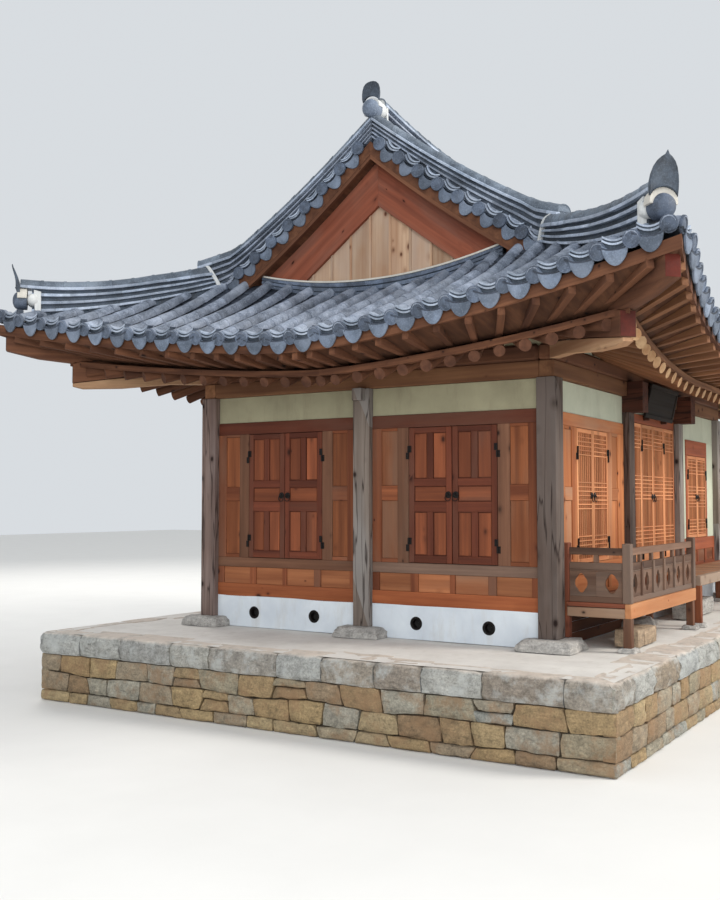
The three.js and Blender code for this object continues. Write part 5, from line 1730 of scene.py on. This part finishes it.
for side, name in ((-1, "left"), (1, "right")):
    gable = Pile()
    for half in (-1, 1):
        verge_half(gable, side, half)
    boarding(gable, side)
    gable.make(f"gable_{name}", GABLE_LOOKS, slot="board", replaces=[f"pediment_{name}"], closed=True)
    foot = Pile()
    base, tops = [], []
    for y in [FOOT_HALF * (2 * k / 24 - 1) for k in range(25)]:
        level = skirt_top(ROOF_X - FOOT_X, ROOF_Y - abs(y)) - 0.03
        base.append([side * FOOT_X, y, level])
        tops.append(P + 4.45 + 0.23 * (y / FOOT_HALF) ** 2 - level)
    # Dark core under the courses: painted shade in the gaps between them
    course(foot, base, tops, lambda tall: -0.05, lambda tall: tall - 0.03, 0.052, T_DARK)
    courses(foot, base, tops, 3, 0.06, 0.84, lambda tall, share: (tall - 0.032) * share,
            lambda k: 0.078, T_DISC, lambda k: 0.27)
    cover = np.array([[x - 0.075, y, z + tall - 0.035] for (x, y, z), tall in zip(base, tops)])
    slab(foot, cover, cover + [0.15, 0, 0], [0, 0, 0.022], T_CREAM)
    foot.make(f"foot_ridge_tiles_{name}", TILE_LOOKS, slot="roof_tile", replaces=[f"foot_ridge_{name}"],
              closed=True)


# Veranda: deck on posts, railing with ringed panels, slots and a hand rail
CORNER_X, FRONT_Y = -HALF_X, -HALF_Y
DECK_LOOKS = [BRIGHT, FLOOR_BOARD, WARM, GREYED, RAIL_GREY, WOOD, RED_POST, FASCIA_GREY, SHADOW_BOARD]
D_BRIGHT, D_FLOOR, D_WARM, D_GREYED, D_RAIL, D_WOOD, D_RED, D_FASCIA, D_SHADOW = range(len(DECK_LOOKS))


def at_veranda(pile, x0, x1, y0, y1, h0, h1, along, look, edge=0.004):
    """A member given by x from the corner column, y out from the front columns, and height."""
    timber(pile, (CORNER_X + x0, FRONT_Y - y1, P + h0), (CORNER_X + x1, FRONT_Y - y0, P + h1), along, look,
           edge)


COLUMN_GAP = (2.48, 2.72)
DECK_ROWS, PORCH_ROWS = 4, 23
deck = Pile()
at_veranda(deck, VX0, VX1, VY1 - 0.07, VY1, VH0, VH1, "x", D_BRIGHT, 0.006)
at_veranda(deck, VX0, COLUMN_GAP[0], VY0, VY0 + 0.07, VH0, VH1, "x", D_WOOD)
at_veranda(deck, COLUMN_GAP[1], VX1, VY0, VY0 + 0.07, VH0, VH1, "x", D_WOOD)
at_veranda(deck, VX0, VX0 + 0.07, VY0 + 0.071, VY1 - 0.071, VH0, VH0 + 0.105, "y", D_FASCIA, 0.006)
at_veranda(deck, VX1 - 0.07, VX1, VY0 + 0.071, VY1 - 0.071, VH0, VH1, "y", D_WOOD, 0.006)
for x in (0.9, 1.6, 2.3):
    at_veranda(deck, x, x + 0.08, VY0 + 0.071, VY1 - 0.071, VH0 + 0.02, VH1 - 0.032, "y", D_FLOOR)
at_veranda(deck, VX0, VX0 + 0.07, VY0 + 0.071, VY1 - 0.071, VH0 + 0.112, VH1, "y", D_RED)
for k in range(DECK_ROWS):
    y0 = VY0 + 0.072 + (VY1 - VY0 - 0.144) * k / DECK_ROWS
    y1 = VY0 + 0.072 + (VY1 - VY0 - 0.144) * (k + 1) / DECK_ROWS - 0.003
    at_veranda(deck, VX0 + 0.071, VX1 - 0.071, y0, y1, VH1 - 0.030, VH1 - rng.uniform(0, 0.002), "x",
               D_FLOOR, 0.003)
for k in range(3):
    at_veranda(deck, 0.13, 2.47, 0.037, 0.0445, 0.006 + 0.128 * k, 0.130 + 0.128 * k, "x", D_SHADOW, 0.002)
half = POST / 2 - 0.002
for x in VERANDA_POSTS:
    for y, foot_h in ((VY0 + POST / 2, 0.121), (VY1 - POST / 2, 0.045)):
        look = D_RED if x < 1 and y < 0.5 else D_GREYED
        at_veranda(deck, x - half, x + half, y - half, y + half, foot_h, VH0 + 0.01, "z", look, 0.006)
deck.make("veranda_deck_timbers", DECK_LOOKS, slot="timber", replaces=["veranda_deck"], closed=True)

rail = Pile()


def ring_panel(pile, length, bays, place, look):
    """Panel with a round hole to each bay between two rails."""
    low, high, half = 0.586, 0.860, 0.014
    step = length / bays
    for k in range(bays):
        middle = step * (k + 0.5)
        outer, inner = [], []
        for t in turns(48):
            c, s = math.cos(t), math.sin(t)
            reach = min((step / 2 - 0.0006) / max(abs(c), 1e-6), ((high - low) / 2) / max(abs(s), 1e-6))
            outer.append((middle + reach * c, (low + high) / 2 + reach * s))
            petal = 1.0 + 0.16 * abs(math.cos(2 * t))
            inner.append((middle + 0.066 * petal * c, 0.728 + 0.092 * petal * s))
        local = np.array([[a, depth, P + h]
                          for ring, depth in ((outer, -half), (inner, -half), (inner, half), (outer, half))
                          for a, h in ring])
        pile.add(place(local), tube_faces(4, len(outer)), local + grain_shift(), 0.5, look)


def railing(pile, length, bays, place, look):
    def member(a, b, c, d, along, half):
        timber(pile, (a, -half, P + c), (b, half, P + d), along, look, 0.004, place)

    member(0, length, VH1, 0.586, "x", 0.02)
    ring_panel(pile, length, bays, place, look)
    member(0, length, 0.86, 0.879, "x", 0.016)
    member(0, length, 0.879, 0.957, "x", 0.02)
    step = length / bays
    for k in range(bays + 1):
        middle = step * k
        a, b = max(middle - 0.08 * step, 0), min(middle + 0.08 * step, length)
        member(a, b, 0.957, 1.04, "z", 0.018)
        if 0 < k < bays and bays > 2:
            member(middle - 0.025, middle + 0.025, 0.587, 0.956, "z", 0.036)
    member(0, length, 1.04, 1.12, "x", 0.02)


RAIL_X, RAIL_Y = CORNER_X + VX0 + POST / 2, FRONT_Y - VY1 + POST / 2


def front_rail(points):
    return points + [RAIL_X, RAIL_Y, 0]


def side_rail(points):
    return np.stack([RAIL_X - points[:, 1], RAIL_Y + points[:, 0], points[:, 2]], 1)


railing(rail, VX1 - VX0 - POST, 6, front_rail, D_RAIL)
railing(rail, VY1 - VY0 - POST, 2, side_rail, D_RAIL)
for x, y, look in ((VX0, VY0, D_RED), (VX0, VY1 - POST, D_RAIL), (VX1 - POST, VY1 - POST, D_RAIL)):
    at_veranda(rail, x, x + POST, y, y + POST, VH1 + 0.0005, 1.17, "z", look, 0.008)
rail.make("veranda_rail_timbers", DECK_LOOKS, slot="weathered_timber", replaces=["veranda_rail"], closed=True)

porch = Pile()
at_veranda(porch, PX0, PX1, PY1 - 0.08, PY1, PH0, PH1, "x", D_FASCIA, 0.006)
at_veranda(porch, PX0, PX1, PY0, PY0 + 0.07, PH0, PH1, "x", D_WOOD)
at_veranda(porch, PX0, PX0 + 0.08, PY0 + 0.071, PY1 - 0.081, PH0, PH1, "y", D_WARM, 0.006)
at_veranda(porch, PX1 - 0.08, PX1, PY0 + 0.071, PY1 - 0.081, PH0, PH1, "y", D_WOOD, 0.006)
for k in range(PORCH_ROWS):
    x0 = PX0 + 0.081 + (PX1 - PX0 - 0.162) * k / PORCH_ROWS
    x1 = PX0 + 0.081 + (PX1 - PX0 - 0.162) * (k + 1) / PORCH_ROWS - 0.003
    at_veranda(porch, x0, x1, PY0 + 0.072, PY1 - 0.082, PH1 - 0.03, PH1 - rng.uniform(0, 0.002), "y",
               D_FLOOR, 0.003)
for x in PORCH_POSTS:
    for y in (PY0 + PORCH_POST / 2, PY1 - PORCH_POST / 2):
        at_veranda(porch, x - 0.043, x + 0.043, y - 0.043, y + 0.043, 0.045, PH0 + 0.01, "z", D_WOOD, 0.006)
porch.make("porch_deck_timbers", DECK_LOOKS, slot="timber", replaces=["porch_deck"], closed=True)

# Name board, bare, in a raised frame
board = Pile()
BOARD_LOOKS = [LACQUER, DARK_BEAM]
TILT = math.radians(13)
BOARD_X = (COLUMN_X[1] + COLUMN_X[2]) / 2
BOARD_W, BOARD_H, BOARD_RIM, BOARD_LOW = 1.33, 0.47, 0.06, 2.78
BOARD_JOINT = 0.0002


def on_board(points):
    x, y, z = points[:, 0], points[:, 1], points[:, 2]
    return np.stack([BOARD_X + x, FRONT_Y - 0.10 + y * math.cos(TILT) - z * math.sin(TILT),
                     P + BOARD_LOW + y * math.sin(TILT) + z * math.cos(TILT)], 1)


wide, tall, rim = BOARD_W / 2, BOARD_H, BOARD_RIM
foot, crown = rim + BOARD_JOINT, tall - rim - BOARD_JOINT
for a, b, c, d, along in ((-wide, wide, 0, rim, "x"), (-wide, wide, tall - rim, tall, "x"),
                          (-wide, rim - wide, foot, crown, "z"), (wide - rim, wide, foot, crown, "z")):
    timber(board, (a, -0.035, c), (b, 0, d), along, 0, 0.006, on_board)
timber(board, (rim - wide + BOARD_JOINT, -0.023, foot), (wide - rim - BOARD_JOINT, -0.002, crown),
       "x", 0, 0.001, on_board)
for side in (-1, 1):
    x = BOARD_X + side * 0.42
    timber(board, (x - 0.025, FRONT_Y - 0.12, P + 2.75),
           (x + 0.025, FRONT_Y - WALL_OUT - 0.0005, P + 2.81), "y", 1, 0.006)
board.make("name_board", BOARD_LOOKS, slot="black_lacquer", replaces=["signboard"], closed=True)

# Floor of the view, light and camera
stage = bpy.data.meshes.new("stage_floor")
STAGE_HALF, STAGE_Z = 60, -0.002
stage_corners = [(STAGE_HALF * x, STAGE_HALF * y, STAGE_Z) for x, y in ((-1, -1), (1, -1), (1, 1), (-1, 1))]
stage.from_pydata(stage_corners, [], [(0, 1, 2, 3)])
g = Graph("stage_pale")
spot = g.position()
stage.materials.append(g.finish(g.mix(g.noise(spot, 1.2), (226, 224, 220), (234, 232, 228)), 0.9))
stage_floor = bpy.data.objects.new("stage_floor", stage)
bpy.context.scene.collection.objects.link(stage_floor)


def area(name, place, target, size, power, colour):
    data = bpy.data.lights.new(name, "AREA")
    data.shape = "DISK"
    data.size = size
    data.energy = power
    data.color = colour
    light = bpy.data.objects.new(name, data)
    light.location = place
    light.rotation_euler = (Vector(target) - Vector(place)).to_track_quat("-Z", "Y").to_euler()
    bpy.context.scene.collection.objects.link(light)


MIDDLE = (0.0, 0.0, 3.0)
area("key", (4, -26, 19), MIDDLE, 10, 7200, (1.0, 0.97, 0.92))
area("fill", (-24, -12, 9), MIDDLE, 18, 2600, (0.93, 0.96, 1.0))
area("rim", (10, 20, 18), MIDDLE, 12, 2200, (1.0, 0.98, 0.95))
world = bpy.data.worlds.new("studio")
bpy.context.scene.world = world
world.use_nodes = True
world.node_tree.nodes["Background"].inputs["Color"].default_value = (0.86, 0.90, 0.94, 1)
world.node_tree.nodes["Background"].inputs["Strength"].default_value = 0.80
bpy.context.scene.view_settings.view_transform = "Standard"

lens = bpy.data.cameras.new("photo_view")
lens.sensor_fit = "VERTICAL"
lens.sensor_height = 36
lens.lens = 42.41
lens.clip_end = 200
camera = bpy.data.objects.new("photo_view", lens)
camera.location = (-14.815, -6.799, 2.460)
camera.rotation_euler = (math.pi / 2 + 0.0501, 0, 0.5544 - math.pi / 2)
bpy.context.scene.collection.objects.link(camera)
bpy.context.scene.camera = camera
